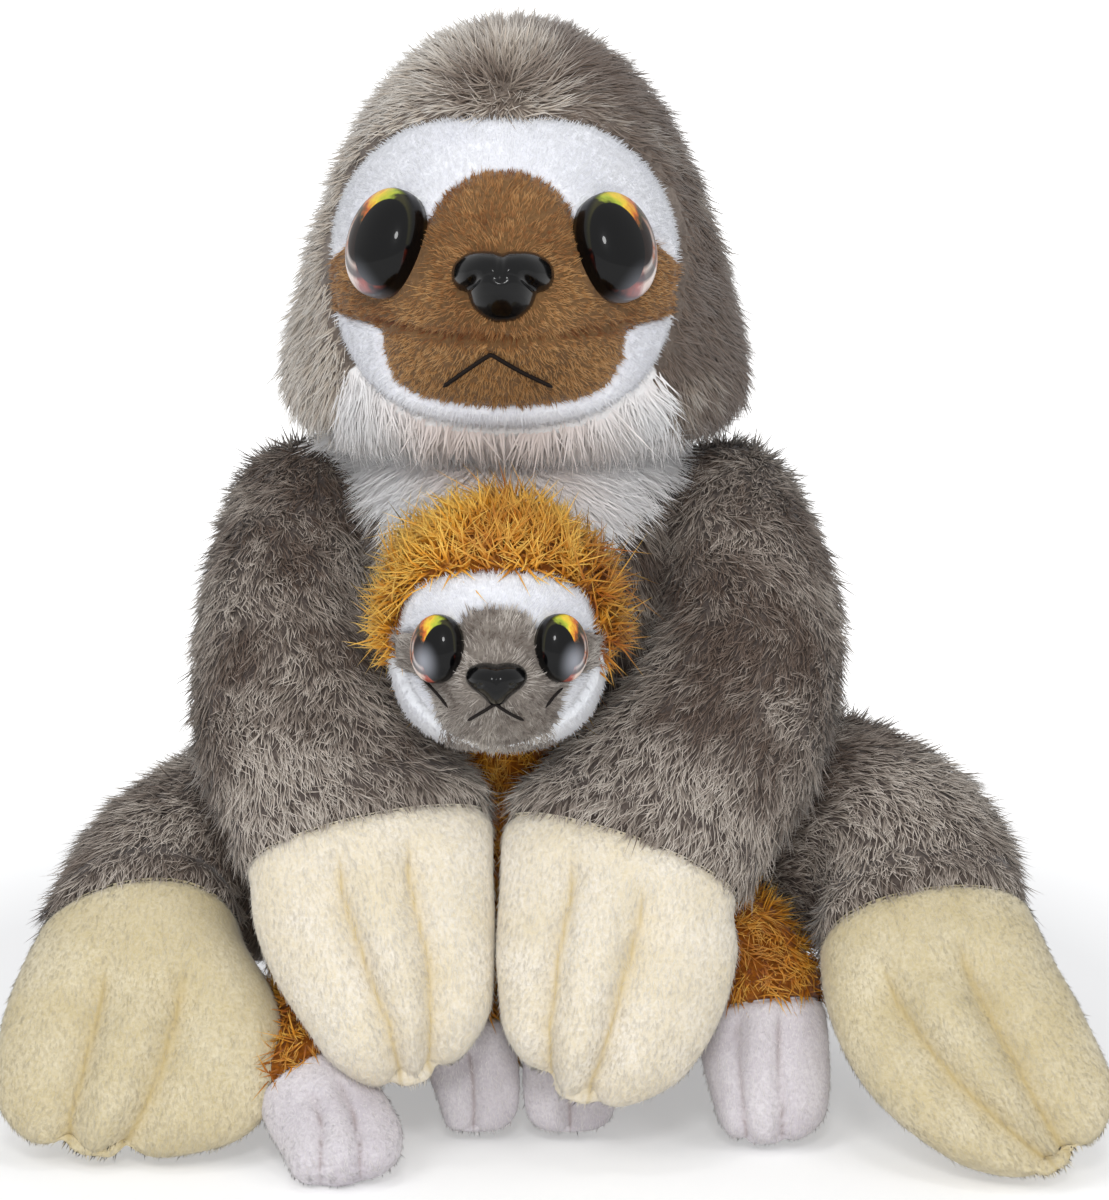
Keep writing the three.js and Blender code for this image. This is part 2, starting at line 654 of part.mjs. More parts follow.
// Head: hood, brow and chin masks, muzzle patch, stuffing and its plastic fixings
function makeHead(prefix, head) {
  const { form, face } = head;
  const outer = form.solid(head.sides, head.rings).subtract(head.socket);
  const inner = form.solid(head.sides, head.rings, -fabric);
  const shell = outer.subtract(inner);
  const back = form.pole(1, 0)[1] - faceBackShare * form.halfDepth;
  const front = (outline) => prism(outline, back, cutOverrun);
  const maskHole = front(faceOutline(head.mask, face, seamGap / 2));
  const maskCut = front(faceOutline(head.mask, face, -seamGap / 2));
  const muzzleHole = front(faceOutline(head.muzzle, face, seamGap / 2));
  const muzzleCut = front(faceOutline(head.muzzle, face, -seamGap / 2));
  const eyes = sides.map(([word, side]) => makeEye(`${prefix}eye_${word}`, head.eye, side, head));
  const nose = makeNose(`${prefix}nose`, head.nose, head);
  const room = [...eyes, nose];
  const pierced = (solid) => room.reduce((left, r) => left.subtract(r.fabric), solid);
  const split = face.bottom + faceSplitShare * face.height;
  const above = blockAbove(split, wholeRoom);
  const white = shell.intersect(maskCut).subtract(muzzleHole);
  const patch = shell.intersect(maskCut).intersect(muzzleCut);
  const filling = form.solid(head.sides / 2, coarse(head.rings), -fabric - stuffingSlack)
    .subtract(head.socket).subtract(head.cut);
  const stuffing = room.reduce((left, r) => left.subtract(r.stuffing), filling);
  addMesh(`${prefix}hood`, geometryOf(pierced(shell.subtract(maskHole).subtract(head.cut))), head.fur());
  addMesh(`${prefix}brow_mask`, geometryOf(pierced(white.intersect(above))), whitePile());
  addMesh(`${prefix}chin_mask`, geometryOf(pierced(white.subtract(above))), whitePile());
  addMesh(`${prefix}muzzle`, geometryOf(pierced(patch)), head.pile());
  addMesh(`${prefix}head_stuffing`, geometryOf(stuffing), fibrefill());
}

// Limb of a sleeve and a paw over one stuffing, with a ball at its root
function makeLimb(name, limb) {
  const { form, root, radius, seam, cut } = limb;
  const body = (grow, corners = limbSides, rings = limb.rings) => (
    form.solid(corners, rings, grow).add(ball(root, radius + grow, corners))
  );
  const shell = body(0).subtract(body(-fabric)).subtract(cut);
  addMesh(`${name}_sleeve`, geometryOf(shell.subtract(form.beyond(seam, -seamGap / 2))), limb.fur());
  addMesh(`${name}_${limb.end}`, geometryOf(shell.intersect(form.beyond(seam, seamGap / 2))), limb.pile());
  addMesh(`${name}_stuffing`, geometryOf(body(-fabric - stuffingSlack).subtract(cut)), fibrefill());
}

// Small limb, stuffed hard enough to be solid: a sleeve and a paw that meet at a seam
function makeSmallLimb(name, limb) {
  const { form, seam, cut } = limb;
  const body = form.solid(smallSides, limb.rings).subtract(cut);
  addMesh(`${name}_sleeve`, geometryOf(body.subtract(form.beyond(seam, -seamGap / 2))), orangeFur());
  addMesh(`${name}_paw`, geometryOf(body.intersect(form.beyond(seam, seamGap / 2))), whitePile());
}

// Stations in place: the root, then shares of the spread, reach and rise, and of the section
function stationsOf(shares, side, root, spans, section) {
  return shares.map(([out, forward, up, wide, thick]) => [
    side * (root[0] + out * spans[0]) + root[3], root[1] - forward * spans[1], root[2] + up * spans[2],
    wide * section[0], thick * section[1],
  ]);
}

// Joint centres
const neck = [0, -torsoLean, neckHeight];
const shoulder = (side) => [side * shoulderOut, -shoulderForward, shoulderHeight];
const hip = (side) => [side * hipOut, -hipForward, hipHeight];
const babyNeck = [-babyOut, -babyNeckForward, babyNeckHeight];
const facet = Math.cos(Math.PI / roundSides);
const socket = (centre, radius) => ball(centre, (radius + seamGap) / facet / facet);
const swivel = (centre, radius) => (
  turned(ball(centre, (radius + seamGap) / facet), centre, [0, 0, 1], 180 / roundSides)
);

// Forms that several pieces share
const torsoForm = new RoundForm(
  torsoRowsShare,
  { height: torsoHeight, halfWidth: torsoHalfWidth, halfDepth: torsoHalfDepth, lean: torsoLean },
  [0, 0, 0],
);
const headForm = new RoundForm(
  headRowsShare,
  { height: headHeight, halfWidth: headHalfWidth, halfDepth: headHalfDepth, lean: torsoLean },
  [0, 0, headBottom],
  [
    { x: -faceShift, z: cheekHeight, out: cheekBulge, halfWidth: cheekReach, halfHeight: cheekReach },
    {
      x: -faceShift, z: snoutHeight, out: snoutBulge,
      halfWidth: snoutHalfWidth, halfHeight: snoutHalfHeight,
    },
  ],
);
const babyBodyForm = new RoundForm(
  babyBodyRowsShare,
  { height: babyBodyHeight, halfWidth: babyBodyHalfWidth, halfDepth: babyBodyHalfDepth, lean: 0 },
  [-babyOut, -babyForward, babyBodyBottom],
);
const babyHeadForm = new RoundForm(
  babyHeadRowsShare,
  { height: babyHeadHeight, halfWidth: babyHeadHalfWidth, halfDepth: babyHeadHalfDepth, lean: 0 },
  [-babyOut, -babyHeadForward, babyHeadBottom],
  [
    {
      x: -babyOut, z: babyCheekHeight, out: babyCheekBulge,
      halfWidth: babyCheekReach, halfHeight: babyCheekReach,
    },
    {
      x: -babyOut, z: babySnoutHeight, out: babySnoutBulge,
      halfWidth: babySnoutHalfWidth, halfHeight: babySnoutHalfHeight,
    },
  ],
);
const armForms = [leftArmShare, rightArmShare].map((shares, i) => {
  const side = sides[i][1];
  const root = [shoulderOut, -shoulderForward, shoulderHeight, 0];
  const turn = handTurnShare[i] * Math.PI / 2;
  return new LimbForm(
    stationsOf(shares, side, root, [armSpread, armReach, -armDrop], [armHalfWidth, armHalfThickness]),
    [Math.cos(turn), 0, -side * Math.sin(turn)],
  );
});
const legForms = [leftLegShare, rightLegShare].map((shares, i) => {
  const side = sides[i][1];
  const root = [hipOut, -hipForward, hipHeight, 0];
  const turn = footTurnShare[i] * Math.PI / 2;
  return new LimbForm(
    stationsOf(shares, side, root, [legSpread, legReach, legRise], [legHalfWidth, legHalfThickness]),
    [Math.cos(turn), 0, side * Math.sin(turn)],
  );
});
const babyArmForms = [leftBabyArmShare, rightBabyArmShare].map((shares, i) => {
  const root = [babyShoulderOut, -babyShoulderForward, babyShoulderHeight, -babyOut];
  return new LimbForm(
    stationsOf(
      shares, sides[i][1], root, [babyArmSpread, babyArmReach, -babyArmDrop],
      [babyArmHalfWidth, babyArmHalfThickness],
    ),
    [1, 0, 0],
  );
});
const babyLegForms = [leftBabyLegShare, rightBabyLegShare].map((shares, i) => {
  const root = [babyHipOut, -babyHipForward, babyHipHeight, -babyOut];
  return new LimbForm(
    stationsOf(
      shares, sides[i][1], root, [babyLegSpread, babyLegReach, babyLegRise],
      [babyLegHalfWidth, babyLegHalfThickness],
    ),
    [1, 0, 0],
  );
});

// Torso: shell with its bib, seat panel, stuffing and bean pouch
const torsoSockets = sides.map(([, side]) => (
  socket(shoulder(side), shoulderRadius).add(socket(hip(side), hipRadius))
)).reduce((all, one) => all.add(one));
const torsoSolid = (grow, corners = roundSides, rings = torsoRings) => (
  torsoForm.solid(corners, rings, grow).add(ball(neck, neckRadius + grow, corners))
);
const torsoShell = torsoSolid(0).subtract(torsoSolid(-fabric)).subtract(torsoSockets);
const torsoRoom = torsoSolid(seamGap);
const seatRow = rowAt(torsoForm.rows, 0);
const seatDisc = (low, high, grow) => solidOf(
  barGeometry(1, low, high, roundSides).scale(seatRow[1] + grow, seatRow[2] + grow, 1),
);
const seatInset = fabric;
const seatHole = seatDisc(-cutOverrun, seatPanelThickness + seamGap, -seatInset);
const bibOutline = (grow) => [
  [-1, 1], [1, 1], [0.86, 0.45], [0.45, 0], [-0.45, 0], [-0.86, 0.45],
].map(([across, up]) => new THREE.Vector2(
  across * (bibHalfWidth + grow) - faceShift, bibTop - bibDrop - grow + up * (bibDrop + 2 * grow),
));
addMesh('torso_shell', geometryOf(
  torsoShell.subtract(seatHole).subtract(prism(bibOutline(seamGap), -torsoLean, cutOverrun)),
), greyFur());
addMesh('chest_bib', geometryOf(
  torsoShell.intersect(prism(bibOutline(0), -torsoLean, cutOverrun)),
), whitePile());
addMesh('seat_panel', geometryOf(
  seatDisc(0, seatPanelThickness, -seatInset - seamGap),
), greyFur());
const pouchTop = seatPanelThickness + seamGap + beanPouchHeight;
const stuffedTorso = torsoSolid(-fabric - stuffingSlack, roundSides / 2, coarse(torsoRings))
  .subtract(torsoSockets)
  .intersect(blockAbove(seatPanelThickness + seamGap, wholeRoom));
addMesh('bean_pouch', geometryOf(
  stuffedTorso.subtract(blockAbove(pouchTop, wholeRoom)),
), plush(0xd8d2c4));
addMesh('torso_stuffing', geometryOf(
  stuffedTorso.intersect(blockAbove(pouchTop + seamGap, wholeRoom)),
), fibrefill());

// Mother's head
const motherHead = {
  form: headForm,
  face: { x: -faceShift, halfWidth: faceHalfWidth, height: faceHeight, bottom: faceBottom },
  mask: maskOutlineShare,
  muzzle: muzzleOutlineShare,
  sides: roundSides,
  rings: headRings,
  socket: swivel(neck, neckRadius),
  cut: ball(neck, neckRadius / 2),
  fur: greyFur,
  pile: brownPile,
  eye: {
    spread: eyeSpread, height: eyeHeight, halfWidth: eyeHalfWidth, halfHeight: eyeHalfHeight, dome: eyeDome,
    plate: eyePlate, seatDepth: eyeSeatDepth, pegRadius, pegLength, washerRadius, washerThickness,
    setback: washerSetback,
  },
  nose: {
    height: noseHeight, halfWidth: noseHalfWidth, halfHeight: noseHalfHeight, dome: noseDome,
    seatDepth: noseSeatDepth, pegRadius, pegLength, washerRadius, washerThickness, setback: noseSetback,
  },
};
makeHead('', motherHead);
makeThread('mouth_thread', mouthLineShare.map(([across, up]) => [
  -faceShift + across * mouthHalfWidth, mouthHeight + up * mouthDrop,
]), motherHead, threadRadius);

// Mother's legs, then her arms, each cut by what is larger
const legSolids = sides.map(([, side], i) => (grow) => (
  legForms[i].solid(limbSides, limbRings, grow).add(ball(hip(side), hipRadius + grow, limbSides))
));
const armSolids = sides.map(([, side], i) => (grow) => (
  armForms[i].solid(limbSides, limbRings, grow).add(ball(shoulder(side), shoulderRadius + grow, limbSides))
));
sides.forEach(([word, side], i) => {
  const clear = swept(torsoRoom, hip(side), legAxes[i], -legSwing).subtract(ball(hip(side), hipRadius));
  makeLimb(`leg_${word}`, {
    form: legForms[i], root: hip(side), radius: hipRadius, seam: ankleShare, rings: limbRings,
    end: 'foot', cut: clear,
    fur: greyFur, pile: creamPile,
  });
  const armClear = swept(torsoRoom, shoulder(side), armAxes[i], -armSwing)
    .subtract(ball(shoulder(side), shoulderRadius));
  const otherHand = side > 0 ? armSolids[0](seamGap) : legSolids[0](seamGap);
  makeLimb(`arm_${word}`, {
    form: armForms[i], root: shoulder(side), radius: shoulderRadius, seam: wristShare, rings: limbRings,
    end: 'paw', cut: armClear.add(legSolids[i](seamGap)).add(otherHand),
    fur: greyFur, pile: creamPile,
  });
});

// Baby's body, head and limbs, cut by the mother
const motherRoom = [...legSolids, ...armSolids].map((limb) => limb(seamGap))
  .reduce((all, one) => all.add(one), torsoRoom);
const hugRoom = sides.map(([, side], i) => (
  swept(armSolids[i](hugGap), shoulder(side), armAxes[i], hugSwing)
)).reduce((all, one) => all.add(one), motherRoom);
const babySolid = (grow) => babyBodyForm.solid(limbSides, smallRings, grow)
  .add(ball(babyNeck, babyNeckRadius + grow, limbSides));
const babyNeckEdge = babyNeckHeight + babyNeckRadius / 2;
const babyShell = babySolid(0).subtract(babySolid(-fabric)).subtract(motherRoom)
  .subtract(blockAbove(babyNeckEdge, 2 * cutOverrun));
addMesh('baby_body_shell', geometryOf(babyShell), orangeFur());
addMesh('baby_body_stuffing', geometryOf(babySolid(-fabric - seamGap).subtract(motherRoom)), fibrefill());
const babyHead = {
  form: babyHeadForm,
  face: { x: -babyOut, halfWidth: babyFaceHalfWidth, height: babyFaceHeight, bottom: babyFaceBottom },
  mask: babyMaskOutlineShare,
  muzzle: babyMuzzleOutlineShare,
  sides: roundSides,
  rings: babyHeadRings,
  socket: socket(babyNeck, babyNeckRadius),
  cut: hugRoom,
  fur: orangeFur,
  pile: greyPile,
  eye: {
    spread: babyEyeSpread, height: babyEyeHeight, halfWidth: babyEyeHalfWidth,
    halfHeight: babyEyeHalfHeight, dome: babyEyeDome, plate: babyEyePlate, seatDepth: babyEyeSeatDepth,
    pegRadius: babyPegRadius, pegLength: babyPegLength, washerRadius: babyWasherRadius,
    washerThickness: babyWasherThickness, setback: babyWasherSetback,
  },
  nose: {
    height: babyNoseHeight, halfWidth: babyNoseHalfWidth, halfHeight: babyNoseHalfHeight,
    dome: babyNoseDome, seatDepth: babyNoseSeatDepth, pegRadius: babyPegRadius, pegLength: babyPegLength,
    washerRadius: babyWasherRadius, washerThickness: babyWasherThickness, setback: babyNoseSetback,
  },
};
makeHead('baby_', babyHead);
makeThread('baby_mouth_thread', mouthLineShare.map(([across, up]) => [
  -babyOut + across * babyMouthHalfWidth, babyMouthHeight + up * babyMouthDrop,
]), babyHead, babyThreadRadius);
const babyRoom = motherRoom.add(babySolid(seamGap))
  .add(babyHeadForm.solid(roundSides, smallRings, seamGap));
sides.forEach(([word, side], i) => {
  makeThread(`baby_cheek_thread_${word}`, stitchLineShare.map(([across, up]) => [
    -babyOut + side * (cheekStitchOut - across * cheekStitchLength),
    cheekStitchHeight + up * cheekStitchLength,
  ]), babyHead, babyThreadRadius);
  makeSmallLimb(`baby_leg_${word}`, {
    form: babyLegForms[i], seam: babyAnkleShare[i], rings: smallRings, cut: babyRoom,
  });
});
const babyLegRoom = babyLegForms.map((f) => f.solid(smallSides, smallRings, seamGap))
  .reduce((all, one) => all.add(one), babyRoom);
sides.forEach(([word], i) => {
  const other = i ? babyArmForms[0].solid(smallSides, smallRings, seamGap) : babyLegRoom;
  makeSmallLimb(`baby_arm_${word}`, {
    form: babyArmForms[i], seam: babyWristShare, rings: smallRings, cut: babyLegRoom.add(other),
  });
});

export default parts;
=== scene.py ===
"""A seated plush sloth that hugs its baby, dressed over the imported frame.

Every cloth panel is a grid of points from a formula, and its pile is made of closed tapering strands
that are rooted on that grid. Sizes are in millimetres here and turn into metres when a mesh is made.
"""

import math

import bpy
import numpy as np
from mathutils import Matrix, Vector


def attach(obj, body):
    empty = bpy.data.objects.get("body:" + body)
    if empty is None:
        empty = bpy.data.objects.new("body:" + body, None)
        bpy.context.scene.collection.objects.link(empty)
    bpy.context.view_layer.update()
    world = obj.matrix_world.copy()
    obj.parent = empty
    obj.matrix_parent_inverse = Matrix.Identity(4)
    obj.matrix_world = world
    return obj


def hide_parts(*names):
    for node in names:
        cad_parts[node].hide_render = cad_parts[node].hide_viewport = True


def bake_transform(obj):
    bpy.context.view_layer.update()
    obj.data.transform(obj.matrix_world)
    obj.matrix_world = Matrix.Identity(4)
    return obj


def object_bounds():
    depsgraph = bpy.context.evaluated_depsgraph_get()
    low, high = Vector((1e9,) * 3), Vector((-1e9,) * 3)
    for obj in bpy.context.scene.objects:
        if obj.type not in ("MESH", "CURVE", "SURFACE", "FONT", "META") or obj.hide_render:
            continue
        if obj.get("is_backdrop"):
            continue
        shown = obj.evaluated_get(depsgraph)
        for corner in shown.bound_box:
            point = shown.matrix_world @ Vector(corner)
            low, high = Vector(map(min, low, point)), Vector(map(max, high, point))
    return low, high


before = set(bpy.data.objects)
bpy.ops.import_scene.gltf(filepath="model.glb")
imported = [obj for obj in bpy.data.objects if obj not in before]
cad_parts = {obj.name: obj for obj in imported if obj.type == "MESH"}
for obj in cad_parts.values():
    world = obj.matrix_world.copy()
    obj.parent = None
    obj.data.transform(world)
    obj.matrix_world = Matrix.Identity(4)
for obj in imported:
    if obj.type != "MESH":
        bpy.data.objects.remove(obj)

cad_low, cad_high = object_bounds()

MM = 0.001
SEED = 4418

# Forms as the solids have them: rows of height, half width, half depth and lean, as shares
TORSO_ROWS = [
    (0, 0.0, 0.0, 0), (0, 0.75, 0.75, 0), (0.02, 0.87, 0.87, 0), (0.07, 0.95, 0.96, 0), (0.19, 1, 1, 0.05),
    (0.37, 0.985, 0.985, 0.2), (0.56, 0.92, 0.93, 0.45), (0.7, 0.84, 0.86, 0.7), (0.8, 0.765, 0.83, 0.9),
    (0.87, 0.7, 0.81, 1), (0.94, 0.65, 0.81, 1), (1.0, 0.61, 0.79, 1), (1.06, 0.54, 0.7, 1),
    (1.11, 0.36, 0.46, 1), (1.13, 0, 0, 1),
]
HEAD_ROWS = [
    (0, 0, 0, 1), (0, 0.66, 0.66, 1), (0.02, 0.84, 0.84, 1), (0.06, 0.95, 0.95, 1), (0.13, 1, 1, 1),
    (0.23, 0.985, 1, 1), (0.34, 0.94, 1, 1), (0.46, 0.885, 0.99, 1), (0.57, 0.815, 0.95, 1),
    (0.68, 0.74, 0.87, 1), (0.8, 0.62, 0.73, 1), (0.88, 0.5, 0.59, 1), (0.945, 0.36, 0.42, 1),
    (0.985, 0.19, 0.22, 1), (1, 0, 0, 1),
]
BABY_BODY_ROWS = [
    (0, 0, 0, 1), (0.01, 0.4, 0.4, 1), (0.06, 0.75, 0.75, 1), (0.18, 0.97, 0.97, 1), (0.38, 1, 1, 1),
    (0.6, 0.93, 0.93, 1), (0.8, 0.78, 0.8, 1), (0.92, 0.62, 0.72, 1), (1.03, 0.55, 0.7, 1),
    (1.1, 0.3, 0.4, 1), (1.12, 0, 0, 1),
]
BABY_HEAD_ROWS = [
    (0, 0, 0, 1), (0.01, 0.42, 0.42, 1), (0.06, 0.68, 0.68, 1), (0.15, 0.86, 0.86, 1), (0.28, 0.96, 0.96, 1),
    (0.45, 1, 1, 1), (0.62, 0.97, 0.97, 1), (0.77, 0.84, 0.84, 1), (0.89, 0.62, 0.62, 1),
    (0.97, 0.33, 0.33, 1), (1, 0, 0, 1),
]

# Stations of a limb: outward, forward, down or up, half width and half thickness, as shares
ARM_STATIONS = {
    -1: [
        (0, 0, 0, 0.68, 0.95), (0.06, 0.18, 0.09, 0.73, 1), (0.07, 0.38, 0.21, 0.79, 0.98),
        (-0.06, 0.58, 0.34, 0.92, 0.86), (-0.27, 0.72, 0.42, 1, 0.74), (-0.43, 0.82, 0.5, 1, 0.68),
        (-0.46, 0.885, 0.61, 0.97, 0.63), (-0.51, 0.92, 0.73, 0.91, 0.62), (-0.6, 0.95, 0.85, 0.76, 0.57),
        (-0.69, 0.97, 0.96, 0.52, 0.4),
    ],
    1: [
        (0, 0, 0, 0.68, 0.95), (0.1, 0.18, 0.09, 0.75, 1), (0.12, 0.38, 0.21, 0.81, 0.98),
        (-0.06, 0.58, 0.35, 0.93, 0.86), (-0.36, 0.73, 0.45, 1, 0.74), (-0.6, 0.83, 0.535, 1, 0.68),
        (-0.63, 0.9, 0.65, 0.98, 0.63), (-0.68, 0.94, 0.77, 0.92, 0.62), (-0.77, 0.965, 0.885, 0.76, 0.57),
        (-0.88, 0.985, 0.99, 0.5, 0.4),
    ],
}
LEG_STATIONS = {
    -1: [
        (0, 0, 0, 0.8, 0.85), (0.34, 0.18, 0.24, 0.92, 1), (0.58, 0.37, 0.23, 0.86, 0.93),
        (0.68, 0.51, 0.2, 0.8, 0.74), (0.7, 0.63, 0.08, 0.82, 0.61), (0.72, 0.73, -0.13, 0.95, 0.53),
        (0.76, 0.82, -0.4, 1, 0.47), (0.81, 0.89, -0.7, 0.9, 0.38), (0.86, 0.94, -0.94, 0.62, 0.2),
    ],
    1: [
        (0, 0, 0, 0.8, 0.85), (0.42, 0.18, 0.34, 0.97, 1.02), (0.76, 0.36, 0.36, 0.93, 0.96),
        (0.86, 0.53, 0.33, 0.86, 0.76), (0.86, 0.67, 0.2, 0.88, 0.63), (0.92, 0.79, -0.06, 1, 0.54),
        (1.05, 0.9, -0.38, 1.05, 0.47), (1.21, 1, -0.68, 0.9, 0.38), (1.37, 1.08, -0.91, 0.58, 0.2),
    ],
}
BABY_ARM_STATIONS = {
    -1: [
        (0, 0, 0, 0.6, 1), (0.3, 0.3, 0.28, 0.6, 1), (-0.2, 0.5, 0.58, 0.66, 0.95),
        (-0.65, 0.74, 0.83, 1.1, 0.95), (-0.7, 0.92, 1.03, 0.98, 0.62),
    ],
    1: [
        (0, 0, 0, 0.6, 1), (0.3, 0.3, 0.28, 0.6, 1), (0.1, 0.5, 0.58, 0.66, 0.95),
        (0.1, 0.74, 0.83, 1.1, 0.95), (0.12, 0.92, 1.03, 0.98, 0.62),
    ],
}
BABY_LEG_STATIONS = {
    -1: [
        (0, 0, 0, 0.66, 1), (0.5, 0.16, 0.05, 0.66, 1), (0.88, 0.34, 0, 0.68, 0.98),
        (0.86, 0.56, -0.46, 0.88, 0.9), (0.74, 0.8, -0.85, 1.02, 0.82), (0.7, 1.02, -1.05, 0.84, 0.6),
    ],
    1: [
        (0, 0, 0, 0.66, 1), (0.58, 0.06, 0.7, 0.66, 1), (1.12, 0.1, 0.98, 0.7, 1),
        (1.36, 0.2, 0.5, 0.85, 0.98), (1.36, 0.38, -0.42, 1.05, 0.88), (1.37, 0.53, -1.18, 0.88, 0.62),
    ],
}

# Half outlines on the face, from the top round to the chin: across and up, as shares of the face
MASK_OUTLINE = [
    (0, 0.99), (0.3, 0.985), (0.56, 0.945), (0.77, 0.86), (0.9, 0.765), (0.985, 0.65), (1, 0.52), (0.965, 0.36),
    (0.9, 0.25), (0.76, 0.145), (0.52, 0.06), (0.25, 0.02), (0, 0.01),
]
MUZZLE_OUTLINE = [
    (0, 0.842), (0.12, 0.835), (0.27, 0.795), (0.37, 0.74), (0.42, 0.695), (0.56, 0.66), (0.82, 0.615),
    (1, 0.52), (1.12, 0.46), (1.12, 0.37), (0.98, 0.365), (0.86, 0.352), (0.71, 0.33), (0.67, 0.24),
    (0.58, 0.155), (0.42, 0.115), (0.2, 0.096), (0, 0.09),
]
BABY_MASK_OUTLINE = [
    (0, 0.985), (0.4, 0.975), (0.7, 0.91), (0.89, 0.815), (0.985, 0.68), (1, 0.52), (0.95, 0.36), (0.87, 0.26),
    (0.71, 0.15), (0.46, 0.05), (0.18, -0.02), (0, -0.03),
]
BABY_MUZZLE_OUTLINE = [
    (0, 0.795), (0.2, 0.78), (0.32, 0.735), (0.37, 0.69), (0.5, 0.665), (0.75, 0.635), (1, 0.575), (1.12, 0.55),
    (1.12, 0.38), (0.96, 0.4), (0.81, 0.395), (0.68, 0.335), (0.61, 0.225), (0.54, 0.1), (0.42, 0.01),
    (0.2, -0.06), (0, -0.07),
]
BIB_OUTLINE = [(0, 1), (0.8, 1), (1, 0.88), (0.78, 0.68), (0.55, 0.5), (0.35, 0.3), (0, 0.2)]
NOSE_OUTLINE = [
    (0, 0.93), (0.3, 1), (0.7, 0.97), (0.96, 0.68), (0.99, 0.25), (0.86, -0.03), (0.68, -0.16), (0.64, -0.34),
    (0.53, -0.64), (0.27, -0.93), (0, -1),
]
BABY_NOSE_OUTLINE = [
    (0, 0.88), (0.4, 0.96), (0.84, 0.76), (1, 0.3), (0.86, -0.14), (0.48, -0.58), (0.22, -0.94), (0, -1),
]
MOUTH_LINE = [(-1, -1), (-0.5, -0.46), (-0.08, -0.04), (0, 0), (0.08, -0.06), (0.5, -0.5), (1, -0.97)]

SIDES = {"left": -1, "right": 1}
# Middles of the two faces across, in mm
MIDDLE = -2.2
BABY_MIDDLE = -3
# Reach along a limb over which its direction is taken, and the last stretch that rounds off, as shares
FRAME_REACH = 0.17
ROUNDING = 0.12
# Rows in the round root and the round tip of a limb
ROOT_ROWS = 14
TIP_ROWS = 39
SQUARE = ((0, 0), (1, 0), (1, 1), (0, 1))
# Most triangles of strands in one piece
STRAND_LIMIT = 195000
# Depth that a strand's root is sunk in the cloth, and least height of any strand over the floor, in mm
ROOT_DEPTH = 0.3
FLOOR_CLEARANCE = 0.2


def smooth(low, high, value):
    """From 0 at low to 1 at high along an S curve."""
    t = np.clip((value - low) / (high - low), 0, 1)
    return t * t * (3 - 2 * t)


def unit(vectors):
    """Vectors along the last axis, each made one long."""
    return vectors / np.maximum(np.linalg.norm(vectors, axis=-1, keepdims=True), 1e-9)


def waves(points, size, seed):
    """Wandering value from about -1 to 1: five sines of about one size in mm, in seeded directions."""
    rng = np.random.default_rng(seed)
    total = 0
    for _ in range(5):
        way = unit(rng.normal(size=3)) * 2 * math.pi / (size * rng.uniform(0.7, 1.5))
        total = total + np.sin(points @ way + rng.uniform(0, 2 * math.pi))
    return total / 3


def row_at(rows, share):
    """Smooth value between the rows of a table: the cubic through the four rows around each share."""
    last = len(rows) - 1
    place = np.clip(share, 0, 1) * last
    i = np.minimum(place.astype(int), last - 1)
    f = (place - i)[..., None]
    p0, p1, p2, p3 = [rows[np.clip(i + k, 0, last)] for k in (-1, 0, 1, 2)]
    return (2 * p1 + (p2 - p0) * f + (2 * p0 - 5 * p1 + 4 * p2 - p3) * f**2 + (3 * p1 - p0 - 3 * p2 + p3) * f**3) / 2


def grid_normals(points):
    """Outward normals of a grid from its differences along and around. At a pole they come from the next row."""
    along = np.gradient(points, axis=0)
    around = np.roll(points, -1, 1) - np.roll(points, 1, 1)
    normal = np.cross(around, along)
    weak = np.linalg.norm(normal, axis=-1, keepdims=True) < 1e-5
    near = np.concatenate([normal[1:2], normal[1:-1], normal[-2:-1]])
    return unit(np.where(weak, near.mean(1, keepdims=True) * weak + near * 1e-3, normal))


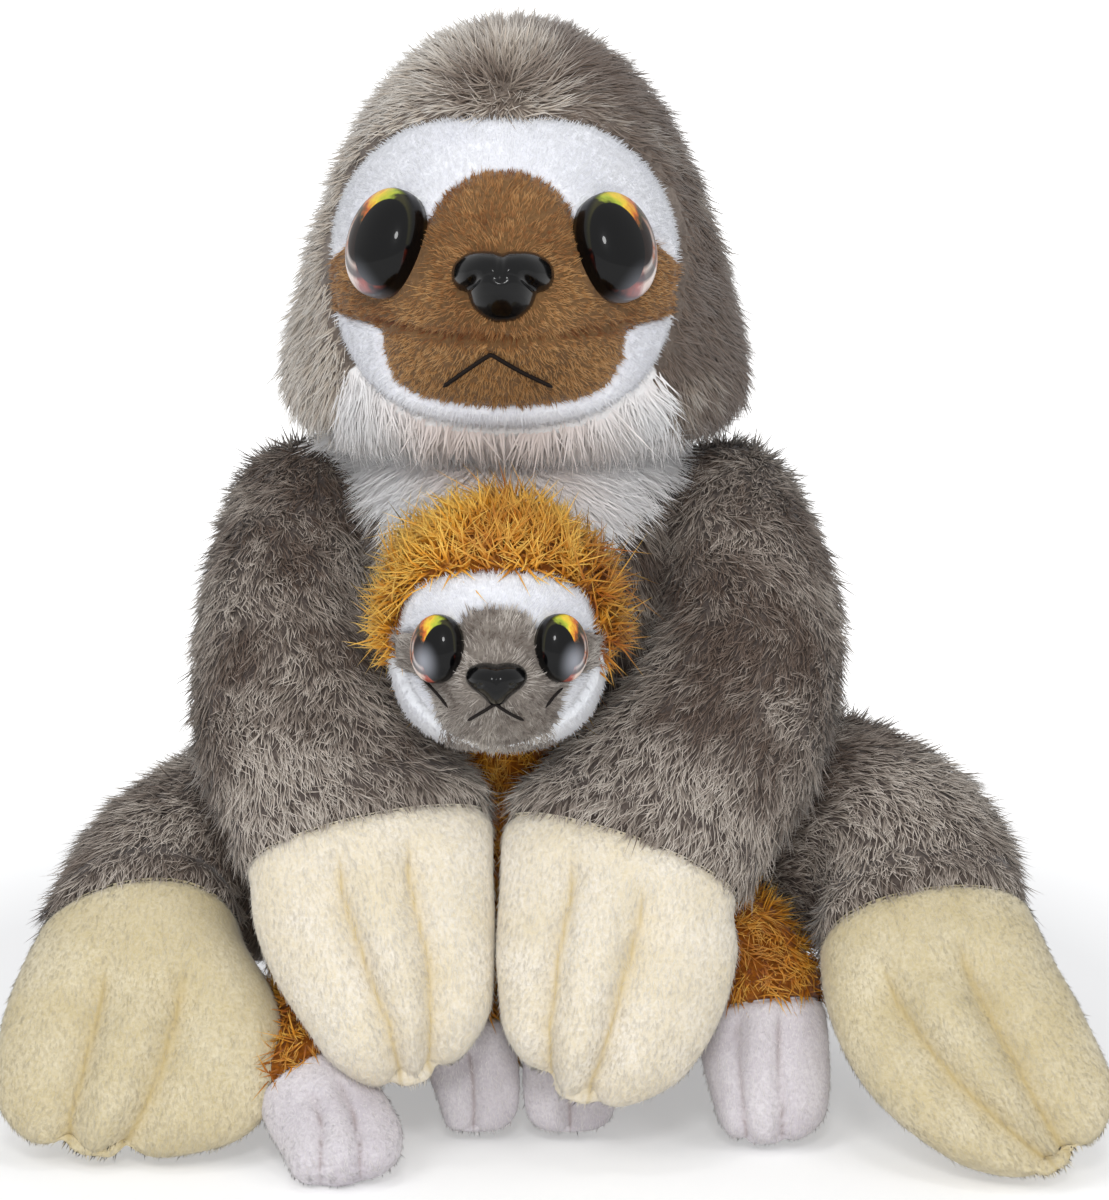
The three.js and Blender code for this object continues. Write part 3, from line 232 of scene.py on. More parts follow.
class Round:
    """Upright round form: at each share of its rows an oval, carried forward by its lean and its bulges."""

    def __init__(self, shares, height, wide, deep, lean, centre, bulges=()):
        self.rows = np.array(
            [(centre[2] + up * height, a * wide, b * deep, c * lean) for up, a, b, c in shares], float
        )
        self.centre = centre
        self.bulges = bulges
        self.fine = np.linspace(0, 1, 4001)
        self.heights = np.maximum.accumulate(row_at(self.rows, self.fine)[:, 0])

    def bulge(self, x, z):
        """Sum of bell-shaped swellings over places across and up."""
        total = np.zeros(np.shape(x))
        for bx, bz, out, wide, high in self.bulges:
            total = total + out * np.exp(-(((x - bx) / wide) ** 2 + ((z - bz) / high) ** 2) / 2)
        return total

    def place(self, share, turn, grow=0.0):
        """Point at a share of the rows and a turn from the front towards the right, grown by some mm."""
        z, wide, deep, lean = np.moveaxis(row_at(self.rows, share), -1, 0)
        wide, deep = [np.maximum(np.maximum(size, 0) + grow * (size > 1e-6), 0) for size in (wide, deep)]
        x = self.centre[0] + wide * np.sin(turn)
        facing = np.clip(2 * np.cos(turn), 0, 1)
        y = self.centre[1] - lean - deep * np.cos(turn) - facing * self.bulge(x, z)
        return np.stack([x, y, z + grow * (2 * share - 1)], -1)

    def at_height(self, z):
        """Half width, half depth and lean at some heights."""
        share = np.interp(z, self.heights, self.fine)
        return np.moveaxis(row_at(self.rows, share), -1, 0)[1:]

    def front(self, x, z):
        """Depth of the front surface over places across and up."""
        wide, deep, lean = self.at_height(z)
        across = np.minimum(np.abs(x - self.centre[0]) / np.maximum(wide, 1e-6), 0.999)
        facing = np.sqrt(1 - across**2)
        return self.centre[1] - lean - deep * facing - np.minimum(2 * facing, 1) * self.bulge(x, z)

    def front_normal(self, x, z, step=2.2):
        """Direction that the front surface faces, from its slopes across and up."""
        x, z = np.asarray(x, float), np.asarray(z, float)
        across = (self.front(x + step, z) - self.front(x - step, z)) / (2 * step)
        up = (self.front(x, z + step) - self.front(x, z - step)) / (2 * step)
        return unit(np.stack([across, -np.ones_like(across), up], -1))

    def inside(self, points):
        """Rough depth in mm of places under the skin, below 0 outside."""
        x, y, z = np.moveaxis(points, -1, 0)
        wide, deep, lean = self.at_height(z)
        wide, deep = np.maximum(wide, 1e-3), np.maximum(deep, 1e-3)
        reach = np.hypot((x - self.centre[0]) / wide, (y - self.centre[1] + lean) / deep)
        depth = (1 - reach) * np.minimum(wide, deep)
        return np.minimum(depth, np.minimum(z - self.heights[0], self.heights[-1] - z))

    def skin(self, rows, columns, grow):
        """Grid over the whole form, with its shares and turns."""
        share, turn = np.meshgrid(
            np.linspace(0, 1, rows), np.linspace(-math.pi, math.pi, columns, endpoint=False), indexing="ij"
        )
        turn = turn - 0.3 * np.sin(turn)
        return Skin(self.place(share, turn, grow), share, turn)


class Limb:
    """Oval section carried along a curved spine, with a round root and a rounded far end."""

    def __init__(self, stations, side, root, spans, section, across, nudges=(), slant=(0, 0)):
        self.nudges = nudges
        self.slant = slant
        self.stations = np.array(
            [
                (side * (root[0] + a * spans[0]) + root[3], root[1] - b * spans[1], root[2] + c * spans[2],
                 d * section[0], e * section[1])
                for a, b, c, d, e in stations
            ],
            float,
        )
        self.side = side
        self.across = np.array(across, float)
        self.root = self.stations[0, :3]

    def frame(self, share):
        """Place on the spine, and the directions along, across and through the limb there."""
        at = row_at(self.stations, share)[..., :3]
        ahead = row_at(self.stations, np.minimum(share + FRAME_REACH, 1))[..., :3]
        behind = row_at(self.stations, np.maximum(share - FRAME_REACH, 0))[..., :3]
        along = unit(ahead - behind)
        wide = unit(self.across - along * (along @ self.across)[..., None])
        return at, along, wide, np.cross(along, wide)

    def place(self, share, turn, grow=0.0):
        """Point on the skin. Shares under 0 run back over the round root, and the last stretch rounds off."""
        at, along, wide, thick = self.frame(np.maximum(share, 0))
        half = row_at(self.stations, np.maximum(share, 0))[..., 3:] + np.stack([grow + 0 * share] * 2, -1)
        past = np.clip((share - (1 - ROUNDING)) / ROUNDING, 0, 1)
        back = np.clip(-share / ROUNDING, 0, 1)
        size = (np.sqrt(1 - past**2) * np.sqrt(1 - back**2))[..., None]
        slide = grow * (1 - np.sqrt(1 - past**2)) - back * half[..., 0]
        out = wide * (half[..., 0] * np.cos(turn))[..., None] + thick * (half[..., 1] * np.sin(turn))[..., None]
        for spot, angle, length, spread, move in self.nudges:
            apart = np.abs((turn - angle + math.pi) % (2 * math.pi) - math.pi)
            near = np.exp(-(((share - spot) / length) ** 2) - (apart / spread) ** 2)[..., None]
            out = out + near * (wide * move[0] + thick * move[1] + along * move[2])
        return at + along * slide[..., None] + size * out

    def skin(self, low, high, rows, columns, grow, tuck=1.2):
        """Grid between two shares, closed at both ends: round at the root and tip, flat at a seam.

        Near a seam the cloth turns in by the tuck.
        """
        body = np.linspace(max(low, 0), min(high, 1 - ROUNDING), rows)
        size = np.ones(rows)
        if low < 0:
            back = -ROUNDING * np.cos(np.linspace(0, math.pi / 2, ROOT_ROWS, endpoint=False))
            body, size = np.concatenate([back, body]), np.concatenate([np.ones(ROOT_ROWS), size])
        else:
            body, size = np.concatenate([[low, low], body]), np.concatenate([[0, 0.8], size])
        if high >= 1:
            tip = 1 - ROUNDING + ROUNDING * np.sin(np.linspace(0, math.pi / 2, TIP_ROWS + 1)[1:])
            body, size = np.concatenate([body, tip]), np.concatenate([size, np.ones(TIP_ROWS)])
        else:
            body, size = np.concatenate([body, [high, high]]), np.concatenate([size, [0.8, 0]])
        turns = np.linspace(0, 2 * math.pi, columns, endpoint=False)
        share, turn = np.meshgrid(body, turns, indexing="ij")
        near = np.minimum(share - low if low >= 0 else 9 + 0 * share, high - share if high < 1 else 9 + 0 * share)
        grow = grow - tuck * (1 - smooth(0, 0.02, near))
        seam = high if high < 1 else low
        shift = self.slant[0] * (1 + self.slant[1] * np.cos(turn)) * np.exp(-(((share - seam) / 0.15) ** 2))
        points = self.place(share + shift, turn, grow)
        middle = points.mean(1, keepdims=True)
        return Skin(middle + (points - middle) * size[:, None, None], share, turn)


def flat_corners(columns, rows, steps):
    """Flat places of the corners of some cells, from each cell's column and row and the steps to its corners."""
    return np.stack([np.stack([columns + a, rows + b], -1) for a, b in steps], 1).reshape(-1, 2)


def unrolled(rows, columns):
    """UVs of a closed skin laid out flat, a square for each quad and a triangle for each corner of its fans."""
    i, j = np.divmod(np.arange((rows - 3) * columns), columns)
    column = np.arange(columns)
    fans = [
        flat_corners(column, 0 * column, steps)
        for steps in (((0.5, 0), (1, 1), (0, 1)), ((0.5, rows - 1), (0, rows - 2), (1, rows - 2)))
    ]
    return np.concatenate([flat_corners(j, i + 1, SQUARE)] + fans) / np.array([columns, rows])


class Skin:
    """Cloth as a grid of points that closes round, with what its pile needs at each: nap, length and amount."""

    def __init__(self, points, share, turn):
        self.points, self.share, self.turn = points, share, turn
        self.amount = np.ones(share.shape)
        self.length = np.ones(share.shape)
        self.nap = np.zeros(points.shape)
        self.shade = np.zeros(share.shape)
        self.refresh()

    def refresh(self):
        """Normals again, after the points have moved."""
        self.normals = grid_normals(self.points)

    def push(self, out):
        """Every point moved out along its normal by some mm."""
        self.points = self.points + self.normals * np.asarray(out)[..., None]
        self.refresh()

    def comb(self, way, stray=0.0, seed=1):
        """Nap laid towards some directions in the plane of the cloth, brushed astray in wide and small swirls."""
        way = unit(way + 0 * self.points)
        for size, part in ((45, stray), (12, stray)):
            way = way + part * np.stack([waves(self.points, size, seed + size + k) for k in range(3)], -1)
        self.nap = unit(way - self.normals * (way * self.normals).sum(-1, keepdims=True))

    def wrapped(self, field):
        """A field with its first column again at the end, where the grid closes on itself."""
        return np.concatenate([field, field[:, :1]], 1)

    def scatter(self, per_mm2, rng):
        """Seeded places spread evenly by area and amount: normals, nap, length and shade at each."""
        p, amount = self.wrapped(self.points), self.wrapped(self.amount)
        cross = np.cross(p[1:, 1:] - p[:-1, :-1], p[1:, :-1] - p[:-1, 1:])
        share = (amount[1:, 1:] + amount[:-1, :-1] + amount[1:, :-1] + amount[:-1, 1:]) / 4
        weight = (np.linalg.norm(cross, axis=-1) / 2 * share).ravel()
        total = np.cumsum(weight)
        count = int(total[-1] * per_mm2)
        cell = np.searchsorted(total, (np.arange(count) + rng.random(count)) * total[-1] / count)
        i, j = np.divmod(np.minimum(cell, len(weight) - 1), p.shape[1] - 1)
        u, v = rng.random((2, count))
        corners = [(i, j, (1 - u) * (1 - v)), (i + 1, j, u * (1 - v)), (i, j + 1, (1 - u) * v), (i + 1, j + 1, u * v)]
        fields = []
        for field in (self.points, self.normals, self.nap, self.length, self.shade):
            full = self.wrapped(field)
            fields.append(sum(full[a, b] * (w[:, None] if full.ndim == 3 else w) for a, b, w in corners))
        return fields

    def mesh(self, name, material, flat=None):
        """Closed skin: quads between its rows and one corner at each pole. UVs are unrolled, or flat ones given."""
        rows, columns = self.share.shape
        grid = 1 + np.arange((rows - 2) * columns).reshape(rows - 2, columns)
        j, k = np.arange(columns), (np.arange(columns) + 1) % columns
        quads = np.stack([grid[:-1][:, j], grid[:-1][:, k], grid[1:][:, k], grid[1:][:, j]], -1).reshape(-1, 4)
        last = grid[-1, -1] + 1
        first_fan = np.stack([0 * j, grid[0, k], grid[0, j]], -1)
        last_fan = np.stack([last + 0 * j, grid[-1, j], grid[-1, k]], -1)
        loops = np.concatenate([quads.ravel(), first_fan.ravel(), last_fan.ravel()])
        totals = np.concatenate([np.full(len(quads), 4), np.full(2 * columns, 3)])
        ends = lambda field: np.concatenate([field[:1, 0], field[1:-1].reshape((-1,) + field.shape[2:]), field[-1:, 0]])
        uv = unrolled(rows, columns) if flat is None else ends(flat)[loops]
        return mesh_of(name, ends(self.points), loops, totals, material, uv, {"shade": ends(self.shade)})

    def slab(self, depth):
        """The patch with its back: rows run in over the back, then out to the front and its middle or edge."""
        back = self.points - self.normals * depth
        return Skin(
            np.concatenate([back[::-1], self.points]), np.concatenate([self.share[::-1], self.share]),
            np.concatenate([self.turn, self.turn]),
        )


def mesh_of(name, points, loops, totals, material, uv, values):
    """Mesh object from whole arrays: corners in mm, face corners, face sizes, UVs and named values."""
    mesh = bpy.data.meshes.new(name)
    mesh.vertices.add(len(points))
    mesh.vertices.foreach_set("co", (points * MM).astype(np.float32).ravel())
    mesh.loops.add(len(loops))
    mesh.loops.foreach_set("vertex_index", loops.astype(np.int32))
    mesh.polygons.add(len(totals))
    starts = np.concatenate([[0], np.cumsum(totals)[:-1]])
    mesh.polygons.foreach_set("loop_start", starts.astype(np.int32))
    mesh.polygons.foreach_set("use_smooth", np.ones(len(totals), bool))
    mesh.uv_layers.new(name="OFBake").uv.foreach_set("vector", uv.astype(np.float32).ravel())
    for word, value in values.items():
        layer = mesh.attributes.new(word, "FLOAT", "POINT")
        layer.data.foreach_set("value", value.astype(np.float32))
    mesh.update(calc_edges=True)
    mesh.materials.append(material)
    piece = bpy.data.objects.new(name, mesh)
    bpy.context.scene.collection.objects.link(piece)
    return piece


class Pile:
    """What one kind of pile is like: lengths in mm, how far it rises and leans, and how it gathers."""

    def __init__(self, per_mm2, length, width, lean=0.8, rise=0.6, loose=0.35, droop=0.0, tuft=0.0, gather=0.0,
                 curl=0.0, bends=1, spread=0.2, flat=0.45, soft=0.6, stray=0.3):
        self.__dict__.update(locals())


def tuft_of(root, size, seed):
    """Tuft that each root belongs to, as three seeded numbers from 0 to 1 and the tuft's middle.

    Space is cut into cells whose walls wander, and each cell is a tuft.
    """
    wander = np.stack([waves(root, 3 * size, seed + k) for k in range(3)], -1)
    cell = np.floor(root / size + 0.4 * wander)
    keys = ((12.9, 78.2, 37.7), (39.3, 11.1, 83.1), (73.1, 52.2, 9.1))
    numbers = np.stack([np.modf(np.abs(np.sin(cell @ np.array(k)) * 43758.5))[0] for k in keys], -1)
    return numbers, (cell + 0.25 + 0.5 * numbers) * size


def grow_pile(name, skin, pile, material, seed):
    """Closed three-sided strands on a skin, from their sunk roots to their tips, in pieces of limited size.

    The axis of a strand is root + way * length * t + (bend * length + pull) * t squared: way leans from the
    normal along the nap, bend is more nap and gravity, and pull goes to the middle of the strand's tuft.
    Sections are flat ovals whose width shrinks as 1 - t squared. Normals lean towards the cloth's own, as
    light scattered among fibres does.
    """
    rng = np.random.default_rng(seed)
    root, normal, nap, length, shade = skin.scatter(pile.per_mm2, rng)
    count = len(root)
    normal = unit(normal)
    length = (length * pile.length * (1 + pile.spread * rng.normal(size=count)).clip(0.4, 1.6))[:, None]
    way = unit(normal * pile.rise + nap * pile.lean + rng.normal(size=(count, 3)) * pile.loose)
    bend = nap * 0.35 * pile.lean + np.array([0, 0, -pile.droop])
    if pile.curl:
        bend = bend + unit(np.cross(normal, rng.normal(size=(count, 3)))) * pile.curl * rng.normal(size=(count, 1))
    tone = rng.random(count)
    if pile.tuft:
        numbers, middle = tuft_of(root, pile.tuft, seed)
        pull = middle - root
        pull = (pull - normal * (pull * normal).sum(-1, keepdims=True)) * pile.gather * (0.6 + 0.8 * numbers[:, :1])
        length = length * (0.8 + 0.4 * numbers[:, 1:2])
        way = unit(way + 2 * pile.stray * (numbers - 0.5))
        tone = 0.3 * tone + 0.7 * numbers[:, 2]
    else:
        pull = 0 * root
    steps = np.linspace(0, 1, pile.bends + 1)
    axis = [root - normal * ROOT_DEPTH + way * length * t + (bend * length + pull) * t**2 for t in steps]
    side = unit(np.cross(normal + 0.35 * rng.normal(size=(count, 3)), axis[-1] - axis[0]))
    heading = unit(axis[-1] - axis[0])
    over = np.cross(heading, side) * pile.flat
    width = pile.width * rng.uniform(0.75, 1.3, (count, 1)) / 2
    points, faced = [], []
    for t, centre in zip(steps[:-1], axis[:-1]):
        for turn in (math.pi / 2, 7 * math.pi / 6, 11 * math.pi / 6):
            out = side * math.cos(turn) + over * math.sin(turn)
            points.append(centre + width * (1 - t**2) * out)
            faced.append(unit(normal * pile.soft + unit(out) * (1 - pile.soft)))
    points = np.stack(points + [axis[-1]], 1)
    points[..., 2] = np.maximum(points[..., 2], FLOOR_CLEARANCE)
    faced = np.stack(faced + [unit(normal * pile.soft + heading * 0.3)], 1)
    corners = points.shape[1]
    faces = [(2, 1, 0)]
    for s in range(pile.bends - 1):
        for a, b in ((0, 1), (1, 2), (2, 0)):
            low, high = 3 * s, 3 * s + 3
            faces += [(low + a, low + b, high + b), (low + a, high + b, high + a)]
    low = 3 * (pile.bends - 1)
    faces += [(low, low + 1, corners - 1), (low + 1, low + 2, corners - 1), (low + 2, low, corners - 1)]
    faces = np.array(faces)
    along = np.concatenate([np.repeat(steps[:-1], 3), [1.0]])
    pieces = []
    order = np.argsort(np.arctan2(root[:, 0] - root[:, 0].mean(), root[:, 1] - root[:, 1].mean()), kind="stable")
    groups = np.array_split(order, max(1, math.ceil(count * len(faces) / STRAND_LIMIT)))
    spot = np.stack([np.concatenate([np.tile([0.5, 0.15, 0.85], pile.bends), [0.5]]), along * 0.8 + 0.1], -1)
    for number, group in enumerate(groups):
        n = len(group)
        loops = (faces[None] + corners * np.arange(n)[:, None, None]).ravel()
        square = math.ceil(math.sqrt(n))
        uv = (np.stack(np.divmod(np.arange(n), square), -1)[:, None] + spot[None]) / square
        values = {
            "along": np.tile(along, n), "tone": np.repeat(tone[group], corners),
            "shade": np.repeat(shade[group], corners),
        }
        word = f"{name}_{number + 1}" if len(groups) > 1 else name
        piece = mesh_of(
            word, points[group].reshape(-1, 3), loops, np.full(n * len(faces), 3), material,
            uv.reshape(-1, 2)[loops], values,
        )
        piece.data.normals_split_custom_set_from_vertices(faced[group].reshape(-1, 3).astype(np.float32))
        pieces.append(piece)
    return pieces


def srgb(code):
    """Linear colour of an sRGB hex value."""
    parts = [int(code[i:i + 2], 16) / 255 for i in (1, 3, 5)]
    return tuple(c / 12.92 if c <= 0.04045 else ((c + 0.055) / 1.055) ** 2.4 for c in parts) + (1.0,)


def node(tree, kind, links=None, **settings):
    """One shader node with its settings, its plain input values and its links from other nodes' outputs."""
    made = tree.nodes.new(kind)
    for key, value in settings.items():
        if hasattr(made, key):
            setattr(made, key, value)
        else:
            made.inputs[key.replace("_", " ")].default_value = value
    for socket, value in (links or {}).items():
        if hasattr(value, "is_output"):
            tree.links.new(value, made.inputs[socket])
        else:
            made.inputs[socket].default_value = value
    return made


def ramp(tree, fac, stops, blend="LINEAR"):
    """Colour ramp over hex colours at places from 0 to 1."""
    made = node(tree, "ShaderNodeValToRGB", {"Fac": fac})
    made.color_ramp.interpolation = blend
    while len(made.color_ramp.elements) < len(stops):
        made.color_ramp.elements.new(0.5)
    for element, (place, code) in zip(made.color_ramp.elements, stops):
        element.position = place
        element.color = srgb(code) if isinstance(code, str) else (code, code, code, 1)
    return made.outputs["Color"]


def material_of(name, **settings):
    """Empty material with its output and main shader, whose plain values are the settings."""
    material = bpy.data.materials.new(name)
    material.use_nodes = True
    tree = material.node_tree
    tree.nodes.clear()
    shader = node(tree, "ShaderNodeBsdfPrincipled", **settings)
    node(tree, "ShaderNodeOutputMaterial", {"Surface": shader.outputs["BSDF"]})
    return material, tree, shader


def pile_material(name, root, middle, tip, dark, patch_mm, patch, sheen=0.2, roughness=0.6, tone=0.8):
    """Knitted pile fabric: colour from root to tip, its darker roots partly painted shade deep in the pile, a tone for
    each strand, brushed patches, and darkening where the value shade is low, which is mostly painted shade.
    """
    material, tree, shader = material_of(
        name, Roughness=roughness, Sheen_Weight=sheen, Sheen_Roughness=0.45, Specular_IOR_Level=0.35,
    )
    along, each, shade = [
        node(tree, "ShaderNodeAttribute", attribute_name=word).outputs["Fac"] for word in ("along", "tone", "shade")
    ]
    spot = node(tree, "ShaderNodeTexCoord").outputs["Object"]
    colour = ramp(tree, along, [(0, root), (0.45, middle), (1, tip)])
    noise = node(tree, "ShaderNodeTexNoise", {"Vector": spot}, Scale=1000 / patch_mm, Detail=3.0, Roughness=0.55)
    brushed = ramp(tree, noise.outputs["Fac"], [(0.36, 0.0), (0.64, 1.0)])
    spread = node(tree, "ShaderNodeMath", {0: each, 1: 0.5}, operation="SUBTRACT")
    mixed = node(tree, "ShaderNodeMath", {0: spread.outputs[0], 1: tone, 2: brushed}, operation="MULTIPLY_ADD")
    level = node(tree, "ShaderNodeMath", {0: mixed.outputs[0], 1: shade}, operation="ADD")
    deep = node(tree, "ShaderNodeMix", {6: colour, 7: srgb(dark), 0: 1.0}, data_type="RGBA", blend_type="MULTIPLY")
    amount = node(tree, "ShaderNodeMapRange", {"Value": level.outputs[0]}, To_Min=patch, To_Max=0.0, clamp=False)
    final = node(tree, "ShaderNodeMix", {0: amount.outputs[0], 6: colour, 7: deep.outputs[2]}, data_type="RGBA")
    tree.links.new(final.outputs[2], shader.inputs["Base Color"])
    return material


def cloth_material(name, base, dark, knit_mm, pale=None, deep=None):
    """Backing cloth under a pile: a warp knit whose wales show as small ridges, mottled by lying fibres.

    A pale colour is that of the white panel pieced into it, where the value "shade" is high. A deep one is painted
    shade at the bottoms of its grooves, where the value is low.
    """
    material, tree, shader = material_of(name, Roughness=0.9, Sheen_Weight=0.3, Specular_IOR_Level=0.2)
    spot = node(tree, "ShaderNodeTexCoord").outputs["Object"]
    fine = node(tree, "ShaderNodeTexNoise", {"Vector": spot}, Scale=1000 / knit_mm, Detail=2.0)
    wide = node(tree, "ShaderNodeTexNoise", {"Vector": spot}, Scale=1000 / 14, Detail=3.0)
    both = node(tree, "ShaderNodeMath", {0: fine.outputs["Fac"], 1: wide.outputs["Fac"]}, operation="MULTIPLY")
    colour = ramp(tree, both.outputs[0], [(0.12, dark), (0.4, base)])
    for other, low, high in ((pale, 1.5, 2.5), (deep, -0.3, -2.4)):
        if other:
            shade = node(tree, "ShaderNodeAttribute", attribute_name="shade").outputs["Fac"]
            panel = node(tree, "ShaderNodeMapRange", {"Value": shade, "From Min": low, "From Max": high})
            colour = node(
                tree, "ShaderNodeMix", {0: panel.outputs[0], 6: colour, 7: srgb(other)}, data_type="RGBA",
            ).outputs[2]
    tree.links.new(colour, shader.inputs["Base Color"])
    bump = node(tree, "ShaderNodeBump", {"Height": fine.outputs["Fac"]}, Strength=0.5, Distance=0.0004)
    tree.links.new(bump.outputs["Normal"], shader.inputs["Normal"])
    return material


# Faux fur of acrylic pile. Long taupe pile: pale tips over darker roots, partly painted shade, so brushing shows as
# light streaks
HOOD_FUR = pile_material("taupe_faux_fur", "#7e7367", "#cbbeaf", "#fefaf2", "#8e837e", 18, 0.7, tone=1.15)
# Shorter dark pile: the same, with dark patches where it lies away from the light
BODY_FUR = pile_material("dark_faux_fur", "#524943", "#9c9186", "#efe5d9", "#8a7c75", 20, 0.8, tone=1.1)
# Short dense white pile: a cool, even white with hardly a shadow
WHITE_FUR = pile_material("white_minky_pile", "#e9ebf0", "#eff0f4", "#f5f6f9", "#dfe0e8", 12, 0.3, tone=0.2)
# Long white pile: bright tips, and a warm tinge painted where it hangs in the shade of the chin
BIB_FUR = pile_material("long_white_pile", "#f8f6f6", "#fcfbfb", "#fefefe", "#e6cdbf", 18, 0.15, tone=0.3, sheen=1.0)
# Short brown pile: golden tips over chestnut roots, speckled where it parts
BROWN_FUR = pile_material(
    "brown_minky_pile", "#64421d", "#a87744", "#e6ba80", "#a07a50", 14, 0.6, sheen=0.06, tone=1.0,
)
# Velour of cut loops: a soft cream, almost one colour, with painted tan shade in its grooves
CREAM_FUR = pile_material("cream_velour_pile", "#d9d1bf", "#e3dccd", "#ece7dd", "#cbb27c", 16, 0.2, tone=0.35)
FOOT_FUR = pile_material("yellow_cream_velour_pile", "#beb18f", "#cbc0a3", "#dad2ba", "#c4aa72", 16, 0.2, tone=0.35)
# Crimped pile: every curl goes from burnt orange to a golden tip, partly painted bright as its glints
ORANGE_FUR = pile_material(
    "orange_curly_fur", "#6f3a06", "#d28a18", "#fcd56c", "#a8702c", 10, 0.6, sheen=0.04, roughness=0.5,
)
# Short grey pile: a salt and pepper of pale tips and dark partings
GREY_FUR = pile_material("grey_minky_pile", "#6c645d", "#b3aaa1", "#e6dfd6", "#938a85", 8, 0.9, tone=1.0)
# Fine velour: a pale lilac grey without streaks
LILAC_FUR = pile_material("lilac_velour_pile", "#d6d1d1", "#e4dfdf", "#efecec", "#cdc4c6", 10, 0.3, tone=0.3)

# Backing knits, a little darker than the pile that grows from them, partly as painted shade in its partings
HOOD_CLOTH = cloth_material("taupe_backing_knit", "#7d7167", "#5b5048", 0.9, pale="#efedec")
BODY_CLOTH = cloth_material("dark_backing_knit", "#5f554f", "#423935", 0.9)
WHITE_CLOTH = cloth_material("white_backing_knit", "#eeeff3", "#d9dae2", 0.8)
BROWN_CLOTH = cloth_material("brown_backing_knit", "#7c5a35", "#5a3f22", 0.8)
ORANGE_CLOTH = cloth_material("orange_backing_knit", "#96560f", "#6b3705", 0.9, pale="#eef0f4")
GREY_CLOTH = cloth_material("grey_backing_knit", "#8a8279", "#6a625b", 0.7)
# Velours show their knit, so theirs is as pale as the pile, with painted tan shade where the seams pull it in
CREAM_CLOTH = cloth_material("cream_velour_knit", "#e9e1d2", "#dccfb2", 0.8, deep="#c8b58a")
FOOT_CLOTH = cloth_material("yellow_cream_velour_knit", "#d8cdb0", "#c6b78f", 0.8, deep="#b9a677")
LILAC_CLOTH = cloth_material("lilac_velour_knit", "#dcd7da", "#c2bbc1", 0.7, deep="#a79b9c")


def thread_material(name, base, dark):
    """Embroidery floss of mercerised cotton: plies twisted round each other, painted lighter and darker in turn as a
    sheen.
    """
    material, tree, shader = material_of(name, Roughness=0.7, Specular_IOR_Level=0.2)
    around = node(tree, "ShaderNodeUVMap", uv_map="OFBake").outputs["UV"]
    ply = node(tree, "ShaderNodeTexWave", {"Vector": around}, Scale=9.0, Distortion=1.0, bands_direction="DIAGONAL")
    tree.links.new(ramp(tree, ply.outputs["Fac"], [(0.2, dark), (0.8, base)]), shader.inputs["Base Color"])
    return material


# Floss: near black, with a faint painted sheen that runs along the twist
THREAD = thread_material("dark_brown_floss", "#1a110c", "#0b0604")
DARK_THREAD = thread_material("black_floss", "#1d1614", "#0b0807")


def plastic_material(name, base, speck, roughness, **settings):
    """Injection moulded plastic: one colour through, with a faint mottle and a slight unevenness of gloss."""
    material, tree, shader = material_of(name, **settings)
    spot = node(tree, "ShaderNodeTexCoord").outputs["Object"]
    noise = node(tree, "ShaderNodeTexNoise", {"Vector": spot}, Scale=1000 / 6, Detail=2.0)
    tree.links.new(ramp(tree, noise.outputs["Fac"], [(0.3, base), (0.7, speck)]), shader.inputs["Base Color"])
    rough = node(
        tree, "ShaderNodeMapRange", {"Value": noise.outputs["Fac"]}, To_Min=roughness, To_Max=roughness + 0.06,
    )
    tree.links.new(rough.outputs[0], shader.inputs["Roughness"])
    return material


# Polished black nose: the lamps show in it as small sharp glints
NOSE_PLASTIC = plastic_material(
    "black_moulded_nose", "#050506", "#0a0a0b", 0.16, Specular_IOR_Level=0.12, Coat_Weight=0.25, Coat_Roughness=0.05,
)
# Washer as it leaves the mould: dull white
WASHER_PLASTIC = plastic_material("white_moulded_washer", "#f2f2f0", "#e6e6e2", 0.45)


